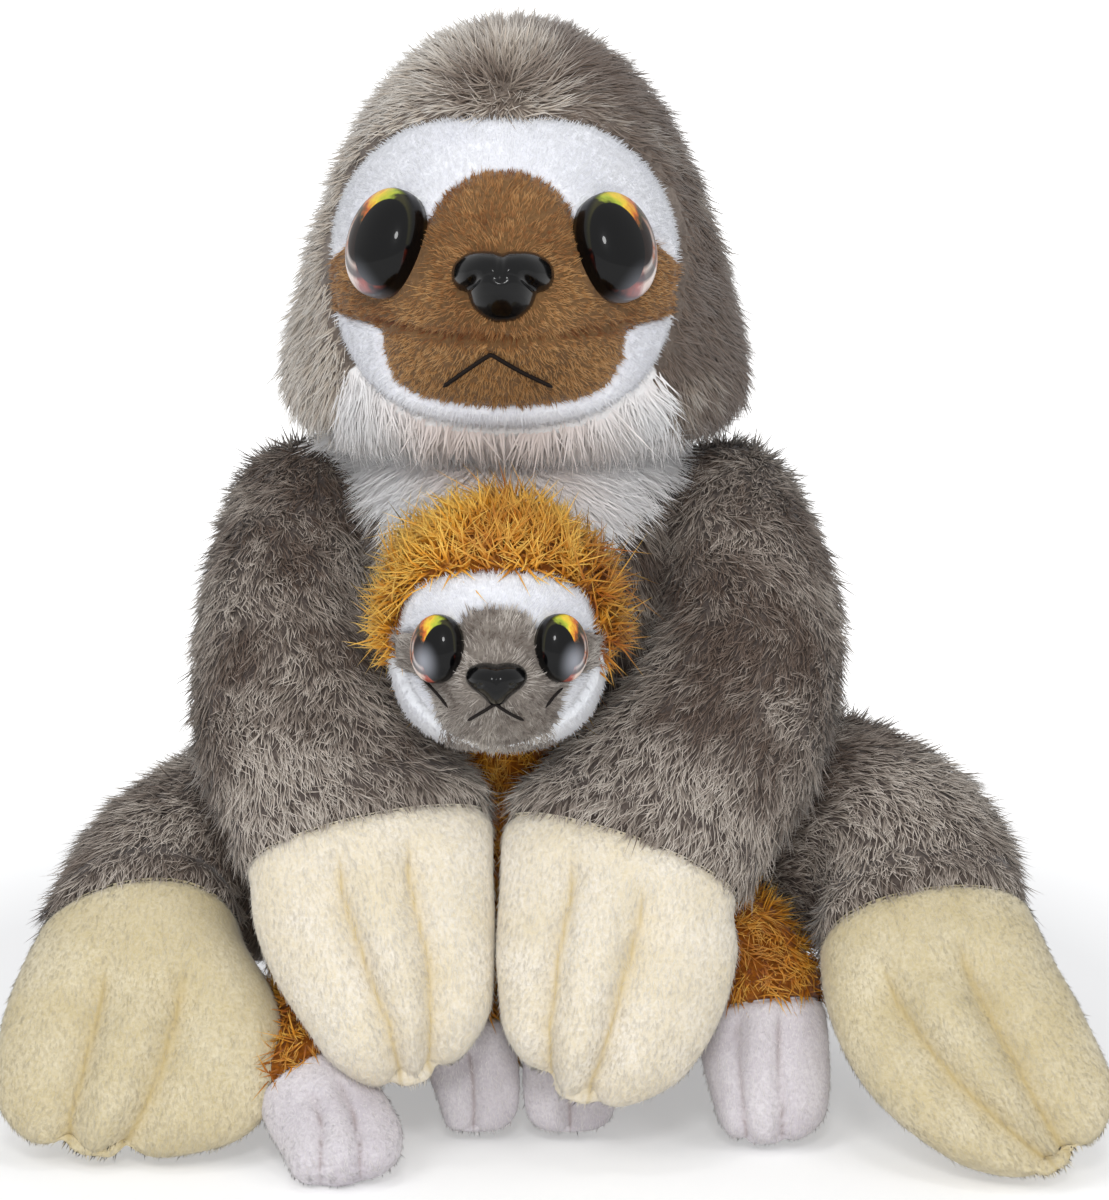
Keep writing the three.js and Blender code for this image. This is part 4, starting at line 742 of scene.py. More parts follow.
def eye_material(name, side, pupil_at, haze):
    """Acrylic safety eye: a black pupil and crescents of printed foil, under one clear glossy dome.

    Distances are taken in the dome's own UV, where the whole oval is a circle of radius 0.5. The pupil is given as
    its place inwards of the middle and up, then its half width and height. The ground reflection, as place outwards and
    up, size and strength, is a painted reflection of the pale ground, low down on the dome.
    """
    material, tree, shader = material_of(
        name, Roughness=0.3, Specular_IOR_Level=0.05, Coat_Weight=0.35, Coat_Roughness=0.03,
    )
    spot = node(tree, "ShaderNodeUVMap", uv_map="OFBake").outputs["UV"]

    def far_from(x, y, wide, high):
        moved = node(tree, "ShaderNodeMapping", {"Vector": spot, "Location": (-x / wide, -y / high, 0)})
        moved.inputs["Scale"].default_value = (1 / wide, 1 / high, 0)
        return node(tree, "ShaderNodeVectorMath", {0: moved.outputs[0]}, operation="LENGTH").outputs["Value"]

    pupil = far_from(0.5 - side * pupil_at[0], *pupil_at[1:])
    edge = far_from(0.5, 0.5, 0.5, 0.5)
    split = node(tree, "ShaderNodeSeparateXYZ", {"Vector": spot})
    out = node(
        tree, "ShaderNodeMath", {0: split.outputs["X"], 1: float(side), 2: 0.5 - 0.5 * side},
        operation="MULTIPLY_ADD",
    )
    turn_y = node(tree, "ShaderNodeMath", {0: split.outputs["Y"], 1: 0.5}, operation="SUBTRACT")
    turn_x = node(tree, "ShaderNodeMath", {0: out.outputs[0], 1: 0.42}, operation="SUBTRACT")
    turn = node(tree, "ShaderNodeMath", {0: turn_y.outputs[0], 1: turn_x.outputs[0]}, operation="ARCTAN2")
    place = node(tree, "ShaderNodeMapRange", {"Value": turn.outputs[0], "From Min": -1.75, "From Max": 2.4})
    wavy = node(tree, "ShaderNodeTexNoise", {"Vector": spot}, Scale=9.0, Detail=3.0)
    jitter = node(
        tree, "ShaderNodeMath", {0: wavy.outputs["Fac"], 1: 0.24, 2: place.outputs[0]}, operation="MULTIPLY_ADD",
    )
    foil = ramp(tree, jitter.outputs[0], [
        (0.1, "#120b0a"), (0.2, "#a13a1c"), (0.28, "#f1d9cb"), (0.38, "#f6eee9"), (0.46, "#e8814a"),
        (0.53, "#f5e2d8"), (0.62, "#dba38c"), (0.7, "#4e5230"), (0.77, "#cf6a2c"), (0.85, "#efcb3f"),
        (0.94, "#a8b83c"), (1.0, "#32301a"),
    ])
    crescent = ramp(tree, edge, [(0.5, 0.0), (0.58, 0.65), (0.66, 0.15), (0.74, 0.1), (0.8, 1.0)])
    top = ramp(tree, jitter.outputs[0], [(0.66, 0.0), (0.78, 1.0)])
    lit = node(tree, "ShaderNodeMath", {0: crescent, 1: top}, operation="MAXIMUM")
    foil = node(tree, "ShaderNodeMix", {0: lit.outputs[0], 6: srgb("#1f1411"), 7: foil}, data_type="RGBA").outputs[2]
    ring = ramp(tree, pupil, [(0.97, 0.0), (1.03, 1.0)])
    rim = ramp(tree, edge, [(0.95, 1.0), (0.995, 0.0)])
    shown = node(tree, "ShaderNodeMath", {0: ring, 1: rim}, operation="MULTIPLY")
    colour = node(tree, "ShaderNodeMix", {0: shown.outputs[0], 6: srgb("#040405"), 7: foil}, data_type="RGBA")
    # Painted reflection of the pale ground, low down on the dome
    veil = far_from(0.5 + side * haze[0], haze[1], haze[2], haze[2])
    low = node(tree, "ShaderNodeMapRange", {"Value": veil, "From Min": 1.0, "From Max": 0.0, "To Max": haze[3]},
               interpolation_type="SMOOTHSTEP")
    hazy = node(tree, "ShaderNodeMix", {0: low.outputs[0], 6: colour.outputs[2], 7: srgb("#c9ccd6")}, data_type="RGBA")
    tree.links.new(hazy.outputs[2], shader.inputs["Base Color"])
    return material


# Forms, the same as the solids'
TORSO = Round(TORSO_ROWS, 135, 61, 47, 8, (0, 0, 0))
HEAD = Round(HEAD_ROWS, 97, 54, 43, 8, (0, 0, 142), [(MIDDLE, 185, 7, 28, 28), (MIDDLE, 180, 14, 19, 14)])
BABY_BODY = Round(BABY_BODY_ROWS, 80, 19, 14, 0, (BABY_MIDDLE, -61, 12))
BABY_HEAD = Round(
    BABY_HEAD_ROWS, 58, 27, 23, 0, (BABY_MIDDLE, -83, 86),
    [(BABY_MIDDLE, 113, 2.5, 15, 15), (BABY_MIDDLE, 106, 6.5, 9.5, 7.5)],
)
# Each kind of limb: stations, root and its shift across, spans, and half width and thickness
LIMB_PLANS = {
    "arm": (ARM_STATIONS, (48, -4, 123, 0), (40, 100, -110), (28, 20)),
    "leg": (LEG_STATIONS, (46, -10, 40, 0), (50, 100, 40), (27.5, 26)),
    "baby_arm": (BABY_ARM_STATIONS, (14, -63, 78, BABY_MIDDLE), (12, 25, -74), (10, 6)),
    "baby_leg": (BABY_LEG_STATIONS, (8, -64, 25, BABY_MIDDLE), (36, 54, 20), (15, 10)),
}
# Nudges off the plain stations: share and turn of the middle, their spreads, then mm across, through and along
NUDGES = {
    "arm": {
        -1: ((0.86, math.pi, 0.12, 0.9, (3.0, 0, 0)),),
        1: ((0.4, 0, 0.2, 0.8, (-2.0, 0, 0)),),
    },
    "leg": {
        -1: (
            (0.84, 0, 0.11, 0.9, (7.0, 0, 0)), (0.67, 0, 0.12, 0.9, (6.5, 0, 0)),
            (1.0, 0, 0.09, 1.1, (-4.0, 0, 0)), (1.0, 2.6, 0.14, 1.4, (-1.5, 0, 3.5)),
        ),
        1: (
            (0.92, math.pi, 0.22, 1.1, (8.0, 0, -1.0)), (0.72, 0.4, 0.16, 1.1, (-3.5, 0, 0)),
            (0.98, 0.4, 0.1, 1.2, (2.0, 0, 1.5)), (0.16, 1.6, 0.12, 1.0, (0, 3.0, 0)),
            (0.46, 1.2, 0.13, 1.1, (0, -3.2, 0)),
        ),
    },
    "baby_arm": {-1: ((0.9, math.pi, 0.12, 0.9, (2.5, 0, 0)),), 1: ()},
    "baby_leg": {
        -1: ((0.3, math.pi, 0.22, 1.0, (-7.0, 0, 0)), (0.85, math.pi, 0.14, 0.9, (3.0, 0, 0))),
        1: ((0.9, math.pi, 0.16, 0.9, (3.5, 0, 0)), (0.62, math.pi, 0.1, 0.9, (-2.5, 0, 0))),
    },
}
# Tilt of a limb's section, in right angles, and slant of its seam, where a side has them
TILTS = {"arm": {-1: 0.02, 1: -0.14}, "leg": {1: 0.12}}
SLANTS = {"arm": {-1: (-0.018, -1), 1: (-0.018, 1)}, "leg": {-1: (-0.035, 1)}, "baby_leg": {-1: (0.05, -1)}}
LIMBS = {}
for word, side in SIDES.items():
    for kind, (stations, root, spans, section) in LIMB_PLANS.items():
        tilt = TILTS.get(kind, {}).get(side, 0) * math.pi / 2
        LIMBS[f"{kind}_{word}"] = Limb(
            stations[side], side, root, spans, section, (math.cos(tilt), 0, math.sin(tilt)),
            NUDGES[kind][side], SLANTS.get(kind, {}).get(side, (0, 0)),
        )


def outline(half, x, bottom, half_width, height, steps=720):
    """Closed smooth line over the face from the right half of its corners, as across and up in mm."""
    right = [(x + a * half_width, bottom + b * height) for a, b in half]
    left = [(x - a * half_width, bottom + b * height) for a, b in half[-2:0:-1]]
    corners = np.array(right + left + right[:1], float)
    return row_at(corners, np.linspace(0, 1, steps))


def reach(line, centre, turns):
    """Distance from a centre to a line in each direction of some turns."""
    away = line - np.array(centre)
    angle = np.unwrap(np.arctan2(away[:, 1], away[:, 0]))
    order = np.argsort(angle)
    return np.interp(turns, angle[order], np.hypot(*away.T)[order], period=2 * math.pi)


def star_skin(form, centre, inner, outer, rings, lift):
    """Ring-shaped or whole patch on a form's front: rays from a centre, from an inner to an outer reach.

    lift(distance to the edge) gives how far the cloth stands out of the form in mm.
    """
    turns = np.linspace(0, 2 * math.pi, len(outer), endpoint=False)
    share, turn = np.meshgrid(np.linspace(0, 1, rings), turns, indexing="ij")
    radius = inner + (outer - inner) * share
    x, z = centre[0] + radius * np.cos(turn), centre[1] + radius * np.sin(turn)
    edge = np.minimum(outer - radius, np.where(inner > 0, radius - inner, 1e3))
    points = np.stack([x, form.front(x, z), z], -1) + form.front_normal(x, z) * lift(edge)[..., None]
    return Skin(points[::-1], share[::-1], turn), x[::-1], z[::-1]


def band_mesh(name, skin, depth, material):
    """Closed ring of cloth: the patch in front, its back some mm behind, joined along both edges."""
    rows, columns = skin.share.shape
    points = np.concatenate([skin.points, (skin.points - skin.normals * depth)[::-1]]).reshape(-1, 3)
    i, j = np.divmod(np.arange(2 * rows * columns), columns)
    k, n = (j + 1) % columns, (i + 1) % (2 * rows)
    quads = np.stack([i * columns + j, i * columns + k, n * columns + k, n * columns + j], -1)
    uv = flat_corners(j, i, SQUARE) / np.array([columns, 2 * rows])
    shade = np.concatenate([skin.shade, skin.shade[::-1]]).ravel()
    return mesh_of(name, points, quads.ravel(), np.full(len(quads), 4), material, uv, {"shade": shade})


def stand_for(pieces, slot, nodes, fill):
    """Hides the solids named, which the pieces stand for. The pieces, the slot and the fill are not used."""
    if nodes:
        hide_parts(*nodes)


def dress(pieces, body, slot, nodes=(), fill=None):
    """Pieces ride on a body and stand for the solids named, which are hidden. The slot and the fill are not used."""
    for piece in pieces:
        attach(piece, body)
    stand_for(pieces, slot, nodes, fill)


def hinge(pieces, body, slot, before, after, nodes, fill):
    """Pieces are baked where they stand and stand for the solids named. The span before and after the limb's root is
    worked out, but no bend is made, and the slot and the fill are not used.
    """
    limb = LIMBS[body]
    _, along, _, _ = limb.frame(np.array(0.0))
    start, end = limb.root - along * before, limb.root + along * after
    for piece in pieces:
        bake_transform(piece)
    stand_for(pieces, slot, nodes, fill)


def oval(x, z, cx, cz, wide, high):
    """Distance from the middle of an upright oval, 1 on its edge."""
    return np.hypot((x - cx) / wide, (z - cz) / high)


def mount(form, x, z, lift):
    """Place and axes of a fixing on a face: its middle, and the ways right, up and out."""
    out = form.front_normal(x, z)
    right = unit(np.cross([0, 0, 1.0], out))
    return np.array([x, form.front(x, z), z]) + out * lift, right, np.cross(out, right), out


def fixing(name, spot, across, up, out, material, body, slot, nodes, half):
    """Closed plastic form on its mount, from grids of places across, up and out of it."""
    at, right, top, front = spot
    points = at + across[..., None] * right + up[..., None] * top + out[..., None] * front
    skin = Skin(points, across * 0, across * 0)
    flat = np.stack([across / (2 * half[0]) + 0.5, up / (2 * half[1]) + 0.5], -1)
    dress([skin.mesh(name, material, flat)], body, slot, nodes)


def make_eye(name, spot, side, half, dome, back, body, materials):
    """Oval dome: a rim that reaches back into the pile, then a quarter circle raised a little to broaden its top."""
    turn = np.linspace(0, 2 * math.pi, 96, endpoint=False)
    rise = np.linspace(0, math.pi / 2, 26)
    size = np.concatenate([[0, 0.97, 1], np.cos(rise) ** 0.94])
    out = np.concatenate([[-back, -back, -back / 2], dome * np.sin(rise)])
    size[-1] = 0
    across = half[0] * size[:, None] * np.cos(turn)
    up = half[1] * size[:, None] * np.sin(turn)
    fixing(
        name, spot, across, up, out[:, None] + 0 * turn, materials[side], body, "clear_acrylic",
        [f"{name}_dome", f"{name}_plate"], half,
    )


def make_nose(name, node_name, spot, corners, half, dome, body, material, groove):
    """Nose pad over its outline: a pillow with a groove down the middle, two nostrils and a crease under them.

    Its rim reaches back into the pile, and the whole pad bends round the face, by a share of the square of the
    distance from its middle.
    """
    turn = np.linspace(0, 2 * math.pi, 120, endpoint=False)
    rim = reach(outline(corners, 0, 0, *half), (0, 0), turn)
    size = np.concatenate([[0, 0.9, 0.98], 1 - np.linspace(0, 1, 44) ** 1.35])
    x = size[:, None] * rim * np.cos(turn)
    y = size[:, None] * rim * np.sin(turn)
    pillow = (1 - np.clip(size, 0, 1) ** 2.4) ** 0.62
    u, v = x / half[0], y / half[1]
    inner = smooth(0.0, 0.5, pillow)[:, None]
    dip = 0.1 * np.exp(-(u / 0.09) ** 2) * smooth(-0.35, 0.1, v)
    for side in (-1, 1):
        dip = dip + 0.32 * np.exp(-(((u - side * 0.52) / 0.1) ** 2) - ((v + 0.08) / 0.1) ** 2)
        dip = dip + 0.16 * np.exp(-(((u - side * 0.66) / 0.1) ** 2) - ((v + 0.16) / 0.08) ** 2)
    brow = v - 0.02 + 0.2 * np.exp(-(u / 0.22) ** 2) - 0.25 * u**2
    dip = dip + 0.03 * np.exp(-(brow / 0.11) ** 2) * smooth(0.75, 0.5, np.abs(u))
    out = dome * (pillow[:, None] * (1 + 0.08 * v) - groove * dip * inner)
    out[:3] = -dome * np.array([[0.2], [0.43], [0.43]])
    out = out - 0.19 * (x**2 / half[0] + y**2 / half[1])
    fixing(name, spot, x, y, out, material, body, "black_plastic", [node_name], half)


def make_thread(name, form, line, radius, lift, body, material, nodes, twist_mm=1.1):
    """Embroidered thread laid over a face: two plies wound round each other, tapering into the cloth."""
    line = row_at(np.array(line, float), np.linspace(0, 1, 90))
    out = form.front_normal(line[:, 0], line[:, 1])
    path = np.stack([line[:, 0], form.front(line[:, 0], line[:, 1]), line[:, 1]], -1) + out * lift
    ahead = unit(np.gradient(path, axis=0))
    side = unit(np.cross(ahead, out))
    out = np.cross(side, ahead)
    travel = np.concatenate([[0], np.cumsum(np.linalg.norm(np.diff(path, axis=0), axis=1))])
    turn = np.linspace(0, 2 * math.pi, 20, endpoint=False)
    wound = turn[None] + 2 * math.pi * travel[:, None] / (2 * twist_mm)
    size = radius * (0.86 + 0.14 * np.abs(np.cos(wound))) * np.minimum(1, np.sqrt(
        np.minimum(travel, travel[-1] - travel)[:, None] / 1.2 + 0.001,
    ))
    size[0] = size[-1] = 0
    points = path[:, None] + size[..., None] * (
        side[:, None] * np.cos(turn)[None, :, None] + out[:, None] * np.sin(turn)[None, :, None]
    )
    share, turns = np.meshgrid(np.linspace(0, 1, 90), turn, indexing="ij")
    dress([Skin(points, share, turns).mesh(name, material)], body, "black_thread", nodes)


EYES, BABY_EYES = {}, {}
for word, side in SIDES.items():
    EYES[side] = eye_material(f"foil_eye_{word}", side, (0.2, 0.48, 0.29, 0.4), (0.04, -0.08, 0.42, 0.42))
    BABY_EYES[side] = eye_material(f"small_foil_eye_{word}", side, (0.23, 0.44, 0.26, 0.44), (0.0, 0.3, 0.34, 0.45))

# Piles: strands to a square mm, length and width in mm, then how they lie
HOOD_PILE = Pile(2.6, 5.4, 0.6, lean=1.0, rise=0.38, loose=0.22, tuft=1.7, gather=0.8, soft=0.45, stray=0.35)
BODY_PILE = Pile(2.45, 4.8, 0.6, lean=1.0, rise=0.36, loose=0.24, tuft=1.6, gather=0.8, soft=0.45, stray=0.35)
BACK_PILE = Pile(1.5, 5.4, 0.75, lean=1.0, rise=0.38, loose=0.22, tuft=1.9, gather=0.8, soft=0.45, stray=0.35)
MASK_PILE = Pile(3.6, 1.7, 0.4, lean=0.95, rise=0.4, loose=0.25, soft=0.92)
MUZZLE_PILE = Pile(3.8, 1.9, 0.42, lean=0.9, rise=0.45, loose=0.3, tuft=1.5, gather=0.5, soft=0.65, stray=0.4)
BIB_PILE = Pile(4.4, 5.6, 0.66, lean=0.9, rise=0.36, loose=0.22, tuft=2.2, gather=0.5, curl=0.1, droop=0.12, soft=0.97)
CREAM_PILE = Pile(2.7, 1.5, 0.38, lean=1.0, rise=0.35, loose=0.25, soft=0.94)
CURLY_PILE = Pile(2.4, 6.2, 0.72, lean=0.6, rise=0.55, loose=0.3, tuft=2.6, gather=0.95, curl=0.5, bends=2, stray=0.9)
SMALL_CURLY_PILE = Pile(1.6, 4.8, 0.7, lean=0.5, rise=0.7, loose=0.3, tuft=2.4, gather=0.95, curl=0.3, stray=0.7)
LILAC_PILE = Pile(2.2, 1.3, 0.38, lean=0.9, rise=0.4, loose=0.3, soft=0.94)
BABY_MASK_PILE = Pile(3.8, 1.6, 0.4, lean=0.95, rise=0.4, loose=0.25, soft=0.92)
BABY_MUZZLE_PILE = Pile(4.2, 2.0, 0.42, lean=0.9, rise=0.45, loose=0.3, tuft=1.5, gather=0.7, soft=0.6, stray=0.4)

FACE = {"x": MIDDLE, "bottom": 149.5, "half_width": 40.7, "height": 71}
BABY_FACE = {"x": BABY_MIDDLE, "bottom": 92, "half_width": 23.6, "height": 40}


def face_share(face, half, x, z):
    """Distance from the middle of a face over the distance to its outline that way, 1 on the outline."""
    centre = (face["x"], face["bottom"] + face["height"] / 2)
    across, up = x - centre[0], z - centre[1]
    return np.hypot(across, up) / reach(outline(half, **face), centre, np.arctan2(up, across))


def make_face(prefix, form, face, halves, eyes, nose, lifts, piles, materials, slots, body, rays, crease=None):
    """Mask ring and muzzle patch as two slabs of cloth whose edges turn in at the seam, with their pile.

    A crease, from x to x at a height, is the seam across the muzzle with its dark stitches and painted shade along it.
    Under it the pile is paler, and between the eyes darker.
    """
    centre = (face["x"], face["bottom"] + face["height"] / 2)
    turns = np.linspace(0, 2 * math.pi, rays, endpoint=False)
    mask = reach(outline(halves[0], **face), centre, turns)
    muzzle = np.minimum(reach(outline(halves[1], **face), centre, turns), mask - 0.15)

    def lift(level, puff, roll):
        return lambda edge: level + puff * smooth(0, 6, edge) - roll * (1 - smooth(0, 1.6, edge))

    ring, x, z = star_skin(form, centre, muzzle + 0.1, mask, 16, lift(*lifts[0]))
    patch, px, pz = star_skin(form, centre, 0 * muzzle, muzzle, 28, lift(*lifts[1]))
    for skin, across, up in ((ring, x, z), (patch, px, pz)):
        skin.comb(np.stack([across - centre[0], 0 * across - 1.5, up - nose[1]], -1))
        for ex, ez, wide, high in eyes:
            skin.amount *= smooth(0.9, 1.02, oval(across, up, ex, ez, wide, high))
        skin.amount *= smooth(0.8, 0.95, oval(across, up, nose[0], nose[1], nose[2], nose[3]))
    if crease:
        line = np.exp(-(((pz - crease[2] - 0.002 * (px - face["x"]) ** 2) / 0.8) ** 2))
        line = line * smooth(crease[0] - 2, crease[0] + 2, px) * smooth(crease[1] + 2, crease[1] - 2, px)
        stitches = 1 + 0.6 * np.sin(px * 2.4) * smooth(-4, 4, px)
        # Paler below the nose and darker between the eyes; along the crease, dark stitches over painted shade
        patch.shade = 1.4 * smooth(176, 164, pz) - 0.5 * smooth(186, 200, pz) - 2.2 * line * stitches
        patch.push(-0.8 * line)
    ring_cloth = band_mesh(f"{prefix}mask_cloth", ring, 1.2, materials[0][0])
    ring_pile = grow_pile(f"{prefix}mask_pile", ring, piles[0], materials[0][1], SEED + len(prefix))
    dress([ring_cloth] + ring_pile, body, slots[0], [f"{prefix}brow_mask", f"{prefix}chin_mask"])
    patch_cloth = patch.slab(1.2).mesh(f"{prefix}muzzle_cloth", materials[1][0])
    patch_pile = grow_pile(f"{prefix}muzzle_pile", patch, piles[1], materials[1][1], SEED + 7 + len(prefix))
    dress([patch_cloth] + patch_pile, body, slots[1], [f"{prefix}muzzle"])


def clear_of_torso(points):
    """From 1 in the open to 0 at 5 mm inside the torso."""
    return smooth(5.0, 1.0, TORSO.inside(points))


def shade_of(skin):
    """Lighter and darker stretches of fur where the pile was brushed one way or the other, and painted shade: darker on
    the right side, away from the light, and darker higher up, from 80 to 110 mm.
    """
    wide = waves(skin.points, 40, SEED + 5)
    right = smooth(0, 40, skin.points[..., 0])
    upper = smooth(80, 110, skin.points[..., 2])
    # Painted shade: the right side darker, away from the light on the left; darker higher up
    return 0.7 * smooth(0.1, 0.8, wide) - 0.4 * smooth(-0.2, -0.8, wide) - 0.05 * right - 0.3 * upper


# Mother's head: the hood's pile runs away from a whorl on the crown, and the ruff's down from the chin
WHORL = np.array([-3.0, -34.0, 225.0])
NECK = np.array([0, -8, 118])
NECK_RADIUS = 36
hood = HEAD.skin(70, 108, -3.0)
x, y, z = np.moveaxis(hood.points, -1, 0)
front = y < -20
mask_share = face_share(FACE, MASK_OUTLINE, x, z)
behind_mask = (mask_share < 0.985) & front
hood.push(-1.5 * ((mask_share < 0.97) & front))
away = hood.points - WHORL
far = np.linalg.norm(away, axis=-1)
back = smooth(-10, 25, y)[..., None]
down = np.array([0, 0.2, -0.9]) * back + np.array([0, 0, -0.25]) * smooth(8, 30, far)[..., None]
hood.comb(unit(away) * (1 - 0.6 * back) + down, 0.3, 31)
hood.nap *= (0.35 + 0.65 * smooth(3, 20, far))[..., None]
hood.length = 1 + 0.5 * smooth(22, 4, far)
hood.length *= np.where(front, 0.6 + 0.4 * smooth(1.0, 1.2, mask_share), 1)
# Painted light and shade on the hood: lighter on the left where the light falls, darker on the right front, darker at
# the whorl, with waves of tone
tint = 0.7 * smooth(0, -30, x) - 1.2 * smooth(-4, 26, x) * smooth(30, 0, y) - 0.9 * smooth(12, 3, far)
tint += 0.4 * waves(hood.points, 30, SEED + 5)
under = (np.abs(x - MIDDLE) < 38 - 0.35 * np.maximum(z - 150, 0)) & (z < 164) & (y < -14)
clear = smooth(NECK_RADIUS, NECK_RADIUS + 3, np.linalg.norm(hood.points - NECK, axis=-1))
hood.amount = (1 - behind_mask) * (1 - under) * clear
hood.shade = 4.0 * under
hood_cloth = hood.mesh("hood_cloth", HOOD_CLOTH)
hood.shade = tint
hood_fur = grow_pile("hood_fur", hood, HOOD_PILE, HOOD_FUR, SEED + 20)
dress([hood_cloth] + hood_fur, "head", "grey_fur", ["hood", "head_stuffing"], fill=0.85)
hood.amount = under * (1 - behind_mask) * clear
hood.length = np.ones_like(far)
# Painted warm shade down the middle of the ruff, where it hangs under the chin
hood.shade = -3.2 * smooth(34, 8, np.abs(x - MIDDLE)) * smooth(140, 150, z)
hood.comb(0.6 * unit(hood.points - np.array([MIDDLE, -30, 185])) + np.array([0, -0.2, -0.9]), 0.25, 32)
ruff = grow_pile("chin_ruff", hood, BIB_PILE, BIB_FUR, SEED + 25)
dress(ruff, "head", "white_pile")
make_face(
    "", HEAD, FACE, (MASK_OUTLINE, MUZZLE_OUTLINE), [(-27.3, 192.1, 9.5, 12.1), (22, 191.7, 9.5, 12.1)],
    (MIDDLE, 186.2, 11, 7.6), ((-2.2, 0.8, 1.0), (-2.0, 0.8, 1.0)), (MASK_PILE, MUZZLE_PILE),
    ((WHITE_CLOTH, WHITE_FUR), (BROWN_CLOTH, BROWN_FUR)), ("white_pile", "brown_pile"), "head", 210,
    crease=(-31, 25, 173.6),
)
for word, side in SIDES.items():
    spot = mount(HEAD, -2.65 + side * 24.65, 191.9 - 0.2 * side, 0.9)
    make_eye(f"eye_{word}", spot, side, (9.5, 12.1), 6.6, 3.8, "head", EYES)
make_nose(
    "nose_pad", "nose", mount(HEAD, MIDDLE, 186.2, -0.9), NOSE_OUTLINE, (11.0, 7.6), 8, "head", NOSE_PLASTIC, 1.0,
)
mouth = [(-4.5 + a * (10.6 if a < 0 else 13.2), 170.4 + b * 8.4) for a, b in MOUTH_LINE]
make_thread("mouth_floss", HEAD, mouth, 0.5, 0.1, "head", THREAD, ["mouth_thread"])

# Mother's torso and bib: the torso is pressed in and bare under the bib, and thin behind the baby
BIB_MIDDLE = (MIDDLE, 127)
bib_line = outline(BIB_OUTLINE, MIDDLE, 104, 40, 42)
torso = TORSO.skin(66, 92, -2.6)
x, y, z = np.moveaxis(torso.points, -1, 0)
across, up = x - BIB_MIDDLE[0], z - BIB_MIDDLE[1]
bib_share = np.hypot(across, up) / reach(bib_line, BIB_MIDDLE, np.arctan2(up, across))
under_bib = (bib_share < 0.98) & (y < 0)
torso.push(-1.6 * under_bib)
torso.points[..., 2] = np.maximum(torso.points[..., 2], 0.3)
torso.comb(np.array([0, 0, -1.0]), 0.3, 35)
x, y, z = np.moveaxis(torso.points, -1, 0)
torso.amount *= smooth(0.5, 4, z) * (1 - smooth(136, 142, z)) * (1 - under_bib)
torso.amount *= 1 - 0.7 * (y < -25) * (np.abs(x) < 34) * (z < 100)
torso_cloth = torso.mesh("torso_cloth", BODY_CLOTH)
torso.shade = shade_of(torso)
torso_fur = grow_pile("torso_fur", torso, BACK_PILE, BODY_FUR, SEED + 40)
dress(
    [torso_cloth] + torso_fur, "torso", "grey_fur", ["torso_shell", "torso_stuffing", "bean_pouch", "seat_panel"],
    fill=0.8,
)
turns = np.linspace(0, 2 * math.pi, 120, endpoint=False)
bib_reach = reach(bib_line, BIB_MIDDLE, turns)
bib, bx, bz = star_skin(TORSO, BIB_MIDDLE, 0 * turns, bib_reach, 24, lambda edge: -2.4 + 0 * edge)
bib.comb(np.stack([(bx - MIDDLE) * 0.6, 0 * bx - 0.8, -14 + 0 * bx], -1), 0.25, 36)
# Painted warm shade down the middle of the bib, under the chin and ruff
bib.shade = -2.6 * smooth(26, 6, np.abs(bx - MIDDLE))
bib_cloth = bib.slab(1.2).mesh("bib_cloth", WHITE_CLOTH)
bib_pile = grow_pile("bib_pile", bib, BIB_PILE, BIB_FUR, SEED + 50)
dress([bib_cloth] + bib_pile, "torso", "white_pile", ["chest_bib"])


# Sewn grooves between the fingers: places on each as share and mm across, from its dimple to the tip
GROOVES = {
    "arm_left": [[(0.66, -6.5), (0.76, -3.5), (0.87, -1.5), (1, -3)], [(0.66, 9), (0.78, 11), (0.89, 8), (1, 4)]],
    "arm_right": [[(0.66, -12.5), (0.74, -13.5), (0.87, -12), (1, -7)], [(0.68, 3.5), (0.79, 1.5), (0.95, 2), (1, 3)]],
    "leg_left": [[(0.7, -5.5), (0.79, -6.5), (0.91, -7.5), (1, -6)], [(0.7, 12), (0.82, 10), (0.97, 6), (1, 5)]],
    "leg_right": [[(0.66, -12), (0.78, -8), (0.9, -3), (1, 1)], [(0.66, 6), (0.81, 6.5), (0.95, 5), (1, 5)]],
    "baby_arm_left": [[(0.75, 0), (1, 0)]],
    "baby_arm_right": [[(0.75, 0), (1, 0)]],
    "baby_leg_left": [[(0.7, -2.5), (0.93, -4), (1, -4)], [(0.7, 4), (0.94, 5), (1, 4.5)]],
    "baby_leg_right": [[(0.74, -6), (0.88, -5), (1, -4)], [(0.74, 3.5), (0.88, 4), (1, 4)]],
}


